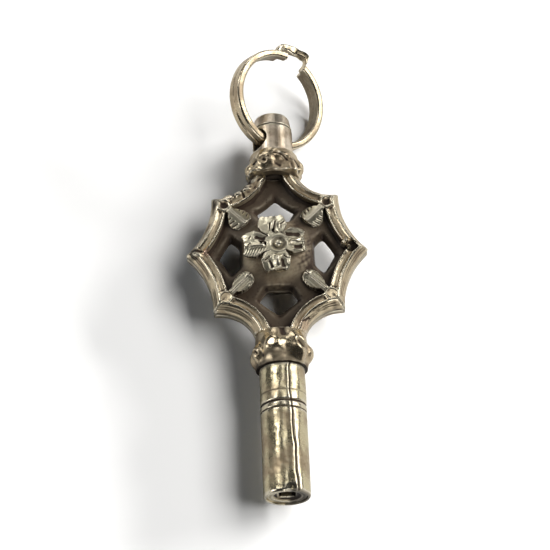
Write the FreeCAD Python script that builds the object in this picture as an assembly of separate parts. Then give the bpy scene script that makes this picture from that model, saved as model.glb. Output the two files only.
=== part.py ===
import FreeCAD, Part
import math
import os
from FreeCAD import Vector

# A fob watch key: a carved openwork head on a winding barrel, with a ring on a swivel post.
# It lies on its back. Sizes are millimetres, +X to the right, +Y along the key to the ring, +Z up.
# Everything is built about the key's own axis, with the middle of the head at zero, and then
# lifted and centred, so that the part rests on Z = 0 with its overall length centred.

# Head, both halves alike: eight bars between cusps, the two at each end drawn in to a neck
HEAD_CUSP_RADIUS = 8.75
BAR_HOLLOW = 0.74
BAR_WIDTH = 1.5
HEAD_HALF_DEPTH = 1.5
NECK_HALF_WIDTH = 2.38
NECK_BAR_RADIUS = 3.6
UPPER_SEAT_INSET = 0.55
LOWER_SEAT_INSET = 0.2
HUB_TOP_RADIUS = 2.35
HUB_TOP_HEIGHT = 1.75
HUB_EDGE_RADIUS = 3.45
HUB_EDGE_HEIGHT = 1.15
WEB_RIM_HEIGHT = 0.55
EYE_INSET = 1.75
EYE_BOSS_RADIUS = 0.7
EYE_RADIUS = 0.46
EYE_DEPTH = 0.36

# Windows of the head, which narrow to the middle plane and sit a little towards the barrel
WINDOW_HUB_GAP = 0.2
WINDOW_SIDE_RIM = 3.35
WINDOW_UPPER_RIM = 2.35
WINDOW_LOWER_RIM = 2.7
WINDOW_HALF_WIDTH = 1.72
WINDOW_HUB_HALF_WIDTH = 1.05
WINDOW_HUB_FLARE = 0.3
WINDOW_ARM_FLARE = 1.05
WINDOW_BAR_FLARE = 1.6
WINDOW_DROP = 0.33
WINDOW_SHOULDER_SHARE = 0.44

# Applied flower
PETAL_COUNT = 4
PETAL_REACH = 2.85
PETAL_HALF_WIDTH = 1.22
PETAL_ROOT_HALF_WIDTH = 0.5
PETAL_NOTCH = 0.32
PETAL_GROOVE_DEPTH = 0.22
PETAL_GROOVE_HALF_WIDTH = 0.26
FLOWER_HEIGHT = 0.72
FLOWER_CUP_RADIUS = 0.85
FLOWER_CUP_RIM = 0.2
FLOWER_CUP_DEPTH = 0.3
FLOWER_TURN = 4.0
PETAL_WAIST_SHARES = (0.55, 0.78)
PETAL_SIDE_SHARES = (0.82, 1.0)
PETAL_CORNER_SHARES = (0.98, 0.72)
PETAL_TIP_SHARES = (1.0, 0.4)
FLOWER_DOME_SHARES = ((1.0, 0.48), (0.7, 0.86), (0.37, 0.94))

# Rivet through the head
RIVET_RADIUS = 0.3
RIVET_BALL_RADIUS = 0.38
RIVET_PROUD = 0.3
RIVET_CLEARANCE = 0.02

# Applied leaves
UPPER_LEAF_LENGTH = 2.4
UPPER_LEAF_HALF_WIDTH = 1.15
LOWER_LEAF_LENGTH = 2.8
LOWER_LEAF_HALF_WIDTH = 0.85
LEAF_STEM_INSET = 2.25
LEAF_SINK = 0.1
LEAF_CROWN_RADIUS = 1.7
LEAF_TEETH = 4
LEAF_TOOTH_DEPTH = 0.12
LEAF_VEIN_DEPTH = 0.16
LEAF_VEIN_RISE = 0.04
LEAF_STEM_HALF_WIDTH = 0.3
LEAF_BLADE_SHARE = 0.78
LEAF_TOOTH_SHARES = (0.15, 0.85, 1.0)
LEAF_SWELL_SHARES = (0.2, 0.72)
LEAF_FULLNESS = 0.7

# Carved knops. Each lies on two lobes, worn flat there, and the carver's lobes creep round to the front.
UPPER_KNOP_HEIGHT = 2.5
LOWER_KNOP_HEIGHT = 3.5
UPPER_KNOP_RADIUS = 3.02
LOWER_KNOP_RADIUS = 3.07
UPPER_KNOP_LOBES = 10
LOWER_KNOP_LOBES = 8
UPPER_LOBE_RADIUS = 0.9
LOWER_LOBE_RADIUS = 1.12
UPPER_LOBE_CREEP = 3.0
LOWER_LOBE_CREEP = -12.0
LOBE_RELIEF = 0.55
LOBE_EYE_RADIUS = 0.52
LOBE_EYE_DEPTH = 0.4
LOBE_EYE_TILT = 30.0
LOBE_WEAR = 0.04
KNOP_FOOT_RADIUS = 2.2
KNOP_THROAT_RADIUS = 2.5
KNOP_SHOULDER_SHARE = 0.25

# Swivel post, its cap, pin and washer
POST_RADIUS = 1.98
POST_HEIGHT = 3.1
POST_WALL = 0.45
CAP_TOP_RADIUS = 1.78
CAP_HEIGHT = 1.4
CAP_EDGE = 0.3
CAP_DOME = 0.12
CAP_SPIGOT = 0.2
CROSS_HOLE_HEIGHT = 1.7
CROSS_HOLE_RADIUS = 1.2
PIN_RADIUS = 0.75
PIN_HEAD_RADIUS = 1.05
PIN_HEAD_THICKNESS = 0.3
WASHER_RADIUS = 1.4
WASHER_THICKNESS = 0.25
SWIVEL_CLEARANCE = 0.06
SEAT_CLEARANCE = 0.02

# Ring, two turns of flat wire joined by a crank, and how it lies at rest
RING_RADIUS = 4.83
RING_WIRE_THICKNESS = 0.73
RING_WIRE_WIDTH = 0.82
RING_WIRE_CORNER = 0.2
RING_TURN_GAP = 0.06
RING_CRANK_PLACE = 72.0
RING_CRANK_ANGLE = 22.0
RING_CRANK_RUN = 14.0
RING_CRANK_PROUD = 1.35
RING_END_ANGLE = 4.0
RING_SWIVEL_ANGLE = 35.0
RING_SWING_ANGLE = 13.5
RING_SLIP = 0.08

# Barrel, its steel pipe and the tang that joins them to the head
BARREL_RADIUS = 2.15
BARREL_LENGTH = 12.3
SLEEVE_WALL = 0.32
SLEEVE_LIP = 0.24
SLEEVE_SEAM_ANGLE = 22.0
SLEEVE_SEAM_WIDTH = 0.07
UPPER_RING_PLACE = 2.66
UPPER_RING_WIDTH = 0.1
BROAD_RING_PLACE = 3.7
BROAD_RING_WIDTH = 0.26
LOWER_RING_PLACE = 4.33
LOWER_RING_WIDTH = 0.12
SLEEVE_RING_DEPTH = 0.09
SLEEVE_NOTCH_RADIUS = 0.55
SLEEVE_NOTCH_REACH = 0.22
SOCKET_ACROSS = 1.5
SOCKET_DEPTH = 6.0
SOCKET_LEAD = 0.25
PIPE_SETBACK = 0.1
TANG_RADIUS = 0.9
TANG_TIP_RADIUS = 0.38
TANG_IN_PIPE = 2.4
TANG_IN_HEAD = 1.1

OVERRUN = 1.0

# Profile of a bar from its outer foot to its inner foot, as shares of its width and half depth.
# A cove runs between the middle ridge and the inner ridge.
BAR_PROFILE_SHARES = (
    (0.07, 0.00), (0.00, 0.08), (0.00, 0.36), (0.06, 0.46), (0.08, 0.54), (0.36, 0.94),
    (0.43, 1.00), (0.50, 0.96), (0.86, 0.93), (0.93, 0.97), (0.99, 0.90), (1.00, 0.00),
)
BAR_COVE_SHARES = (0.68, 0.85)
BAR_COVE_AT = 7

BAR_COUNT = 8
QUARTER_TURN = 90.0

# Derived places on the head and along the key
HEAD_WAIST_RADIUS = HEAD_CUSP_RADIUS * math.cos(math.pi / BAR_COUNT) - BAR_HOLLOW
BAR_FOOT_RADIUS = HEAD_WAIST_RADIUS - BAR_WIDTH
EYE_PLACE_RADIUS = HEAD_CUSP_RADIUS - EYE_INSET
LEAF_STEM_RADIUS = HEAD_CUSP_RADIUS - LEAF_STEM_INSET
UPPER_SEAT = HEAD_CUSP_RADIUS - UPPER_SEAT_INSET
LOWER_SEAT = HEAD_CUSP_RADIUS - LOWER_SEAT_INSET
UPPER_KNOP_TOP = UPPER_SEAT + UPPER_KNOP_HEIGHT
BARREL_TOP = -(LOWER_SEAT + LOWER_KNOP_HEIGHT)
BARREL_END = BARREL_TOP - BARREL_LENGTH
POST_FOOT = UPPER_KNOP_TOP + SWIVEL_CLEARANCE
POST_TOP = POST_FOOT + POST_HEIGHT
CROSS_HOLE_Y = POST_FOOT + CROSS_HOLE_HEIGHT
FLOWER_TOP = HUB_TOP_HEIGHT + FLOWER_HEIGHT
SLEEVE_BORE = BARREL_RADIUS - SLEEVE_WALL

ORIGIN = Vector(0, 0, 0)
X_AXIS = Vector(1, 0, 0)
Y_AXIS = Vector(0, 1, 0)
Z_AXIS = Vector(0, 0, 1)


def segment(start, end):
    return Part.LineSegment(start, end).toShape()


def arc(start, middle, end):
    return Part.Arc(start, middle, end).toShape()


def closed_face(edges):
    return Part.Face(Part.Wire(edges))


def polygon_face(points):
    return Part.Face(Part.makePolygon(list(points) + [points[0]]))


def polar(radius, degrees, height=0.0):
    angle = math.radians(degrees)
    return Vector(radius * math.cos(angle), radius * math.sin(angle), height)


def turned(shape, degrees, axis=Z_AXIS, centre=ORIGIN):
    copy = shape.copy()
    copy.rotate(centre, axis, degrees)
    return copy


def moved(shape, offset):
    copy = shape.copy()
    copy.translate(offset)
    return copy


def mirrored_back(shape):
    return shape.mirror(ORIGIN, Z_AXIS)


def joined(shapes):
    return shapes[0].fuse(shapes[1:]).removeSplitter()


def along_key(radius, start, end):
    """A cylinder on the key's axis between two places."""
    return Part.makeCylinder(radius, abs(end - start), Vector(0, min(start, end), 0), Y_AXIS)


def turned_on_key(points):
    """A solid of revolution about the key's axis, from points of radius and place."""
    face = polygon_face([Vector(radius, place, 0) for radius, place in points])
    return face.revolve(ORIGIN, Y_AXIS, 360)


def largest(shape):
    return max(shape.Solids, key=lambda solid: solid.Volume)


def bar_arc_radius():
    """The radius of the hollow outer side of a bar between two cusps."""
    half_chord = HEAD_CUSP_RADIUS * math.sin(math.pi / BAR_COUNT)
    return (half_chord ** 2 + BAR_HOLLOW ** 2) / (2 * BAR_HOLLOW)


def bar_profile(centre, inward, radius):
    """The moulding of a bar, standing on the line that runs inward from the centre of its hollow side."""
    def point(share):
        across, up = share
        return centre + inward * (radius + across * BAR_WIDTH) + Vector(0, 0, up * HEAD_HALF_DEPTH)

    points = [point(share) for share in BAR_PROFILE_SHARES]
    edges = []
    for index, start in enumerate(points):
        end = points[(index + 1) % len(points)]
        coved = index == BAR_COVE_AT
        edges.append(arc(start, point(BAR_COVE_SHARES), end) if coved else segment(start, end))
    return closed_face(edges)


def moulded_bar(start, end, radius, step):
    """A bar of the front half from one cusp to the next, mitred to the bars of the steps beside it."""
    middle = (start + end) / 2
    half_chord = (end - start).Length / 2
    outward = Z_AXIS.cross(start - end).normalize()
    centre = middle + outward * math.sqrt(radius ** 2 - half_chord ** 2)
    sweep = 2 * math.degrees(math.asin(half_chord / radius))
    profile = turned(bar_profile(centre, outward.negative(), radius), -sweep, centre=centre)
    bar = profile.revolve(centre, Z_AXIS, 2 * sweep)
    reach = HEAD_CUSP_RADIUS + LOWER_SEAT
    wedge = polygon_face([
        ORIGIN, polar(reach, 360 * step / BAR_COUNT), polar(reach, 360 * (step + 1) / BAR_COUNT)])
    return largest(bar.common(wedge.extrude(Vector(0, 0, HEAD_HALF_DEPTH + OVERRUN))))


def bar_line(step):
    """The two ends and the radius of a bar: between cusps, or from a cusp to the side of a neck."""
    start = polar(HEAD_CUSP_RADIUS, 360 * step / BAR_COUNT)
    end = polar(HEAD_CUSP_RADIUS, 360 * (step + 1) / BAR_COUNT)
    quarter = BAR_COUNT // 4
    upper_neck = Vector(NECK_HALF_WIDTH, UPPER_SEAT, 0)
    lower_neck = Vector(NECK_HALF_WIDTH, -LOWER_SEAT, 0)
    drawn_in = {
        quarter - 1: (start, upper_neck), quarter: (Vector(-upper_neck.x, upper_neck.y, 0), end),
        3 * quarter - 1: (start, Vector(-lower_neck.x, lower_neck.y, 0)), 3 * quarter: (lower_neck, end)}
    if step in drawn_in:
        return *drawn_in[step], NECK_BAR_RADIUS
    return start, end, bar_arc_radius()


def web():
    """The dished web and the hub, inside the bars and between the necks."""
    side = (HEAD_WAIST_RADIUS - BAR_WIDTH / 2) / math.cos(math.pi / BAR_COUNT)
    rim = HEAD_CUSP_RADIUS + OVERRUN
    profile = polygon_face([
        ORIGIN, Vector(rim, 0, 0), Vector(rim, 0, WEB_RIM_HEIGHT),
        Vector(BAR_FOOT_RADIUS, 0, WEB_RIM_HEIGHT), Vector(HUB_EDGE_RADIUS, 0, HUB_EDGE_HEIGHT),
        Vector(HUB_TOP_RADIUS, 0, HUB_TOP_HEIGHT), Vector(0, 0, HUB_TOP_HEIGHT)])
    dish = profile.revolve(ORIGIN, Z_AXIS, 360)
    outline = polygon_face([polar(side, 360 * step / BAR_COUNT) for step in range(BAR_COUNT)])
    half_neck = NECK_HALF_WIDTH - BAR_WIDTH / 2
    corner = Vector(-half_neck, -LOWER_SEAT, 0)
    necks = Part.makeBox(2 * half_neck, LOWER_SEAT + UPPER_SEAT, HUB_TOP_HEIGHT, corner)
    return dish.common(outline.extrude(Vector(0, 0, HUB_TOP_HEIGHT)).fuse(necks))


def window_outline(reach, height, hub_flare, arm_flare, bar_flare):
    """The outline of a window along +X at one height, with its flares towards hub, arms and bars."""
    hub_edge = HUB_EDGE_RADIUS + WINDOW_HUB_GAP
    shoulder = hub_edge + (reach - hub_edge) * WINDOW_SHOULDER_SHARE
    upper = [(hub_edge - hub_flare, WINDOW_HUB_HALF_WIDTH + hub_flare),
             (shoulder, WINDOW_HALF_WIDTH + arm_flare)]
    points = upper + [(reach + bar_flare, 0.0)] + [(place, -half) for place, half in reversed(upper)]
    return Part.makePolygon([Vector(place, half, height) for place, half in points + points[:1]])


def window(reach):
    """A window that widens like a funnel from the middle plane to the height of the hub's edge."""
    foot = window_outline(reach, 0, 0, 0, 0)
    mouth = window_outline(reach, HUB_EDGE_HEIGHT, WINDOW_HUB_FLARE, WINDOW_ARM_FLARE, WINDOW_BAR_FLARE)
    funnel = Part.makeLoft([foot, mouth], True, True)
    below = Part.Face(foot).extrude(Vector(0, 0, -OVERRUN))
    above = Part.Face(mouth).extrude(Vector(0, 0, HEAD_HALF_DEPTH))
    return joined([below, funnel, above])


def windows():
    """The four windows, each turned to its side and then moved towards the barrel."""
    side = HEAD_CUSP_RADIUS - WINDOW_SIDE_RIM
    reaches = (side, HEAD_CUSP_RADIUS - WINDOW_UPPER_RIM, side, HEAD_CUSP_RADIUS - WINDOW_LOWER_RIM)
    drop = Vector(0, -WINDOW_DROP, 0)
    return [moved(turned(window(reach), QUARTER_TURN * quarter), drop)
            for quarter, reach in enumerate(reaches)]


def head_half():
    """The front half of the head, cut flat at the middle plane and at the seats of the knops."""
    bars = [moulded_bar(*bar_line(step), step) for step in range(BAR_COUNT)]
    corners = [QUARTER_TURN * (quarter + 1 / 2) for quarter in range(4)]
    bosses = [Part.makeCylinder(EYE_BOSS_RADIUS, HEAD_HALF_DEPTH, polar(EYE_PLACE_RADIUS, angle))
              for angle in corners]
    half = web().cut(windows()).fuse(bars + bosses)
    eye_height = HEAD_HALF_DEPTH + EYE_RADIUS - EYE_DEPTH
    eyes = [Part.makeSphere(EYE_RADIUS, polar(EYE_PLACE_RADIUS, angle, eye_height)) for angle in corners]
    rivet_bore = Part.makeCylinder(RIVET_RADIUS + RIVET_CLEARANCE, HUB_TOP_HEIGHT + OVERRUN)
    tang_bore = along_key(
        TANG_TIP_RADIUS + SEAT_CLEARANCE, -LOWER_SEAT - OVERRUN, -LOWER_SEAT + TANG_IN_HEAD + SEAT_CLEARANCE)
    half = half.cut(eyes + [rivet_bore, tang_bore])
    side = HEAD_CUSP_RADIUS + OVERRUN
    keep = Part.makeBox(2 * side, UPPER_SEAT + LOWER_SEAT, side, Vector(-side, -LOWER_SEAT, 0))
    return largest(half.common(keep)).removeSplitter()


def petal():
    """One petal along +X, heart-shaped at its end, with a groove down its middle."""
    shares = (PETAL_WAIST_SHARES, PETAL_SIDE_SHARES, PETAL_CORNER_SHARES, PETAL_TIP_SHARES)
    sides = [Vector(PETAL_REACH * along, PETAL_HALF_WIDTH * across, 0) for along, across in shares]
    points = [Vector(0, PETAL_ROOT_HALF_WIDTH, 0)] + sides + [Vector(PETAL_REACH - PETAL_NOTCH, 0, 0)]
    lower = [Vector(point.x, -point.y, 0) for point in reversed(points[:-1])]
    upper_edges = [segment(points[0], points[1]), arc(points[1], points[2], points[3]),
                   segment(points[3], points[4]), segment(points[4], points[5])]
    lower_edges = [segment(points[5], lower[0]), segment(lower[0], lower[1]),
                   arc(lower[1], lower[2], lower[3]), segment(lower[3], lower[4])]
    outline = closed_face(upper_edges + lower_edges + [segment(lower[4], points[0])])
    blade = outline.extrude(Vector(0, 0, FLOWER_HEIGHT))
    groove = polygon_face([
        Vector(FLOWER_CUP_RADIUS, -PETAL_GROOVE_HALF_WIDTH, FLOWER_HEIGHT),
        Vector(FLOWER_CUP_RADIUS, 0, FLOWER_HEIGHT - PETAL_GROOVE_DEPTH),
        Vector(FLOWER_CUP_RADIUS, PETAL_GROOVE_HALF_WIDTH, FLOWER_HEIGHT)])
    fall = FLOWER_HEIGHT * (1 - FLOWER_DOME_SHARES[0][1])
    slope = math.degrees(math.atan2(fall, PETAL_REACH - FLOWER_CUP_RADIUS))
    cutter = groove.extrude(Vector(PETAL_REACH, 0, 0))
    cutter = turned(cutter, slope, Y_AXIS, Vector(FLOWER_CUP_RADIUS, 0, FLOWER_HEIGHT))
    return blade.cut(cutter)


def flower():
    """The front flower: petals that fall away from a cup round the rivet's ball."""
    petals = [turned(petal(), FLOWER_TURN + 360 * step / PETAL_COUNT) for step in range(PETAL_COUNT)]
    cup_outer = FLOWER_CUP_RADIUS + FLOWER_CUP_RIM
    body = joined(petals + [Part.makeCylinder(cup_outer, FLOWER_HEIGHT)])
    fall = [Vector(PETAL_REACH * along, 0, FLOWER_HEIGHT * up) for along, up in FLOWER_DOME_SHARES]
    outside = PETAL_REACH + OVERRUN
    dome = polygon_face(
        [ORIGIN, Vector(outside, 0, 0), Vector(outside, 0, fall[0].z)] + fall
        + [Vector(FLOWER_CUP_RADIUS, 0, FLOWER_HEIGHT), Vector(0, 0, FLOWER_HEIGHT)])
    body = body.common(dome.revolve(ORIGIN, Z_AXIS, 360))
    cup_ball = (FLOWER_CUP_RADIUS ** 2 + FLOWER_CUP_DEPTH ** 2) / (2 * FLOWER_CUP_DEPTH)
    cup = Part.makeSphere(cup_ball, Vector(0, 0, FLOWER_HEIGHT - FLOWER_CUP_DEPTH + cup_ball))
    bore = Part.makeCylinder(RIVET_RADIUS + RIVET_CLEARANCE, FLOWER_HEIGHT)
    return moved(body.cut([cup, bore]), Vector(0, 0, HUB_TOP_HEIGHT))


def centre_rivet():
    ball_place = FLOWER_TOP + RIVET_PROUD - RIVET_BALL_RADIUS
    shank = Part.makeCylinder(RIVET_RADIUS, 2 * ball_place, Vector(0, 0, -ball_place))
    balls = [Part.makeSphere(RIVET_BALL_RADIUS, Vector(0, 0, side * ball_place)) for side in (1, -1)]
    return joined([shank] + balls)


def leaf_outline(length, half_width):
    """A leaf along +X from its tip at zero, with teeth down both sides and a short stem."""
    blade = length * LEAF_BLADE_SHARE
    first_swell, whole_swell = LEAF_SWELL_SHARES
    upper = [ORIGIN]
    for tooth in range(LEAF_TEETH):
        for share in LEAF_TOOTH_SHARES:
            along = (tooth + share) / LEAF_TEETH
            dip = LEAF_TOOTH_DEPTH if share == LEAF_TOOTH_SHARES[-1] else 0
            swell = math.sin(math.pi * (first_swell + whole_swell * along)) ** LEAF_FULLNESS
            upper.append(Vector(blade * along, half_width * swell - dip, 0))
    upper.append(Vector(blade, LEAF_STEM_HALF_WIDTH, 0))
    upper.append(Vector(length, LEAF_STEM_HALF_WIDTH, 0))
    lower = [Vector(point.x, -point.y, 0) for point in reversed(upper[1:])]
    return polygon_face(upper + lower)


def leaf(head, length, half_width, corner):
    """The leaf of one front corner, bedded on the web and arched across its width."""
    tip = Vector(LEAF_STEM_RADIUS - length, 0, 0)
    top = HEAD_HALF_DEPTH - LEAF_SINK
    blade = moved(leaf_outline(length, half_width).extrude(Vector(0, 0, HEAD_HALF_DEPTH)), tip)
    arch = Part.makeCylinder(
        LEAF_CROWN_RADIUS, length + 2 * OVERRUN, tip + Vector(-OVERRUN, 0, top - LEAF_CROWN_RADIUS), X_AXIS)
    vein = polygon_face([
        Vector(0, -LEAF_VEIN_DEPTH, top + LEAF_VEIN_RISE), Vector(0, 0, top - LEAF_VEIN_DEPTH),
        Vector(0, LEAF_VEIN_DEPTH, top + LEAF_VEIN_RISE)])
    blade = blade.common(arch).cut(moved(vein.extrude(Vector(length, 0, 0)), tip))
    return largest(turned(blade, corner).cut(head))


def lobe_angles(count, creep):
    """Where the lobes of a knop stand, in radians from +X towards +Z.

    They are even about the two that the key lies on, and creep round more the nearer they are to the top.
    """
    angles = []
    for step in range(count):
        from_bottom = 2 * math.pi * (step + 1 / 2) / count
        shift = math.radians(creep) * (1 - math.cos(from_bottom)) / 2
        angles.append(from_bottom + shift - math.pi / 2)
    return angles


def lying_height():
    """How high the key's axis lies above the table, on the worn lobes of both knops."""
    lows = []
    for radius, lobe_radius, count in (
            (UPPER_KNOP_RADIUS, UPPER_LOBE_RADIUS, UPPER_KNOP_LOBES),
            (LOWER_KNOP_RADIUS, LOWER_LOBE_RADIUS, LOWER_KNOP_LOBES)):
        lows.append((radius - lobe_radius) * math.cos(math.pi / count) + lobe_radius)
    return min(lows) - LOBE_WEAR


def knop(seat, height, radius, direction, lobe_radius, angles):
    """A carved knop on the key's axis, on its seat: a core with a ring of lobes, their eyes to the ring."""
    middle = seat + height / 2
    rise = height * KNOP_SHOULDER_SHARE
    belly = radius - LOBE_RELIEF
    shoulder = (belly + KNOP_THROAT_RADIUS) / 2
    core = turned_on_key([
        (0, direction * seat), (KNOP_FOOT_RADIUS, direction * seat),
        (shoulder, direction * (middle - rise)), (belly, direction * middle),
        (shoulder, direction * (middle + rise)), (KNOP_THROAT_RADIUS, direction * (seat + height)),
        (0, direction * (seat + height))])
    tilt = math.radians(LOBE_EYE_TILT)
    eye_reach = lobe_radius + LOBE_EYE_RADIUS - LOBE_EYE_DEPTH
    lobes = []
    eyes = []
    for angle in angles:
        out = Vector(math.cos(angle), 0, math.sin(angle))
        centre = Vector(0, direction * middle, 0) + out * (radius - lobe_radius)
        look = out * math.cos(tilt) + Y_AXIS * math.sin(tilt)
        lobes.append(Part.makeSphere(lobe_radius, centre))
        eyes.append(Part.makeSphere(LOBE_EYE_RADIUS, centre + look * eye_reach))
    foot = Vector(-radius, min(direction * seat, direction * (seat + height)), -radius - OVERRUN)
    worn = Part.makeBox(2 * radius, height, radius + OVERRUN - lying_height(), foot)
    return core.fuse(lobes).cut(eyes + [worn]).removeSplitter()


def upper_knop():
    """The upper knop with the running bore of the swivel pin and the recess of its riveted end."""
    angles = lobe_angles(UPPER_KNOP_LOBES, UPPER_LOBE_CREEP)
    body = knop(UPPER_SEAT, UPPER_KNOP_HEIGHT, UPPER_KNOP_RADIUS, 1, UPPER_LOBE_RADIUS, angles)
    bore = along_key(PIN_RADIUS + SWIVEL_CLEARANCE, UPPER_SEAT - OVERRUN, UPPER_KNOP_TOP + OVERRUN)
    recess = along_key(WASHER_RADIUS + SWIVEL_CLEARANCE, UPPER_SEAT - OVERRUN, washer_seat())
    return body.cut([bore, recess])


def washer_seat():
    """The roof of the recess in the upper knop, where the washer runs."""
    return UPPER_SEAT + PIN_HEAD_THICKNESS + WASHER_THICKNESS + 2 * SWIVEL_CLEARANCE


def lower_knop():
    """The lower knop with the bore of the tang."""
    angles = lobe_angles(LOWER_KNOP_LOBES, LOWER_LOBE_CREEP)
    body = knop(LOWER_SEAT, LOWER_KNOP_HEIGHT, LOWER_KNOP_RADIUS, -1, LOWER_LOBE_RADIUS, angles)
    return body.cut(along_key(TANG_RADIUS + SEAT_CLEARANCE, -LOWER_SEAT + OVERRUN, BARREL_TOP - OVERRUN))


def swivel_pin():
    """The pin of the post, headed over below its washer."""
    head_foot = washer_seat() - SWIVEL_CLEARANCE - WASHER_THICKNESS - PIN_HEAD_THICKNESS
    shank = along_key(PIN_RADIUS, head_foot, POST_FOOT + POST_WALL)
    head = along_key(PIN_HEAD_RADIUS, head_foot, head_foot + PIN_HEAD_THICKNESS)
    return joined([shank, head])


def swivel_washer():
    top = washer_seat() - SWIVEL_CLEARANCE
    ring = along_key(WASHER_RADIUS, top - WASHER_THICKNESS, top)
    return ring.cut(along_key(PIN_RADIUS + SEAT_CLEARANCE, top - WASHER_THICKNESS - OVERRUN, top + OVERRUN))


def cross_direction():
    """The way the cross hole runs while the post stands as it lies at rest."""
    angle = math.radians(RING_SWIVEL_ANGLE)
    return Vector(math.cos(angle), 0, -math.sin(angle))


def swivel_post():
    """The tube of the post, with its floor on the pin and the cross hole through its wall."""
    tube = along_key(POST_RADIUS, POST_FOOT, POST_TOP)
    hollow = along_key(POST_RADIUS - POST_WALL, POST_FOOT + POST_WALL, POST_TOP + OVERRUN)
    pin_bore = along_key(PIN_RADIUS + SEAT_CLEARANCE, POST_FOOT - OVERRUN, POST_FOOT + POST_WALL + OVERRUN)
    reach = POST_RADIUS + OVERRUN
    across = cross_direction()
    cross = Part.makeCylinder(
        CROSS_HOLE_RADIUS, 2 * reach, Vector(0, CROSS_HOLE_Y, 0) - across * reach, across)
    return tube.cut([hollow, pin_bore, cross])


def post_cap():
    """The lid of the post: a low dome on a tapered rim, with a spigot in the tube."""
    top = POST_TOP + CAP_HEIGHT
    rim = top - CAP_EDGE
    edge = CAP_TOP_RADIUS - CAP_EDGE
    spigot = POST_RADIUS - POST_WALL - SEAT_CLEARANCE
    slant = CAP_EDGE * math.sqrt(0.5)
    edges = [
        segment(Vector(0, POST_TOP - CAP_SPIGOT, 0), Vector(spigot, POST_TOP - CAP_SPIGOT, 0)),
        segment(Vector(spigot, POST_TOP - CAP_SPIGOT, 0), Vector(spigot, POST_TOP, 0)),
        segment(Vector(spigot, POST_TOP, 0), Vector(POST_RADIUS, POST_TOP, 0)),
        segment(Vector(POST_RADIUS, POST_TOP, 0), Vector(CAP_TOP_RADIUS, rim, 0)),
        arc(Vector(CAP_TOP_RADIUS, rim, 0), Vector(edge + slant, rim + slant, 0), Vector(edge, top, 0)),
        segment(Vector(edge, top, 0), Vector(0, top + CAP_DOME, 0)),
        segment(Vector(0, top + CAP_DOME, 0), Vector(0, POST_TOP - CAP_SPIGOT, 0))]
    return closed_face(edges).revolve(ORIGIN, Y_AXIS, 360)


def ring_frame():
    """The hole's middle, the hole's direction, the way the ring hangs and the way it faces."""
    across = cross_direction()
    face = Y_AXIS.cross(across).negative()
    swing = math.radians(RING_SWING_ANGLE)
    hang = Y_AXIS * math.cos(swing) + face * math.sin(swing)
    return Vector(0, CROSS_HOLE_Y, 0), across, hang, across.cross(hang)


def wire_section(degrees, offset, proud=0.0):
    """The rounded section of the ring's wire at one angle round the ring and one offset across it."""
    half_thick = RING_WIRE_THICKNESS / 2
    half_wide = RING_WIRE_WIDTH / 2
    corner = RING_WIRE_CORNER
    slant = corner * (1 - math.sqrt(0.5))
    edges = []
    corners = [(1, 1), (1, -1), (-1, -1), (-1, 1)]
    for out, side in corners:
        flip = out * side
        along = [(out * half_thick, side * (half_wide - corner)),
                 (out * (half_thick - corner), side * half_wide)]
        mid = (out * (half_thick - slant), side * (half_wide - slant))
        ends = along if flip < 0 else along[::-1]
        edges.append((ends[0], mid, ends[1]))
    place = RING_RADIUS + proud

    def point(pair):
        return polar(place + pair[0], degrees, offset + pair[1])

    wire = []
    for index, (start, mid, end) in enumerate(edges):
        wire.append(arc(point(start), point(mid), point(end)))
        following = edges[(index + 1) % len(edges)]
        wire.append(segment(point(end), point(following[0])))
    return Part.Wire(wire)


def crank_section(degrees, across, out):
    """The wire's section in the crank, with shares of the way across the turns and of the way out."""
    pitch = RING_WIRE_WIDTH + RING_TURN_GAP
    return wire_section(degrees, pitch * (across - 1 / 2), RING_CRANK_PROUD * out)


def split_ring():
    """Two open turns of flat wire side by side, joined by a crank that stands out over their ends."""
    front_start = RING_CRANK_PLACE - RING_CRANK_ANGLE / 2
    crossed = RING_CRANK_PLACE + RING_CRANK_ANGLE / 2
    back_start = crossed + RING_CRANK_RUN
    front_sweep = 360 - RING_CRANK_ANGLE - RING_END_ANGLE
    back_sweep = 360 - RING_CRANK_ANGLE - RING_CRANK_RUN - RING_END_ANGLE
    front_turn = Part.Face(crank_section(front_start, 1, 0)).revolve(ORIGIN, Z_AXIS, -front_sweep)
    back_turn = Part.Face(crank_section(back_start, 0, 0)).revolve(ORIGIN, Z_AXIS, back_sweep)
    crank = Part.makeLoft([
        crank_section(front_start, 1, 0),
        crank_section(front_start + RING_CRANK_ANGLE / 3, 3 / 4, 1),
        crank_section(crossed - RING_CRANK_ANGLE / 3, 1 / 4, 1),
        crank_section(crossed, 0, 1),
        crank_section(back_start, 0, 0)], True)
    ring = joined([back_turn, crank, front_turn])
    middle, across, hang, face = ring_frame()
    centre = middle + hang * (RING_RADIUS - RING_SLIP)
    ring.Placement = FreeCAD.Placement(centre, FreeCAD.Rotation(across, hang, face, "XYZ"))
    return ring


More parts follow.
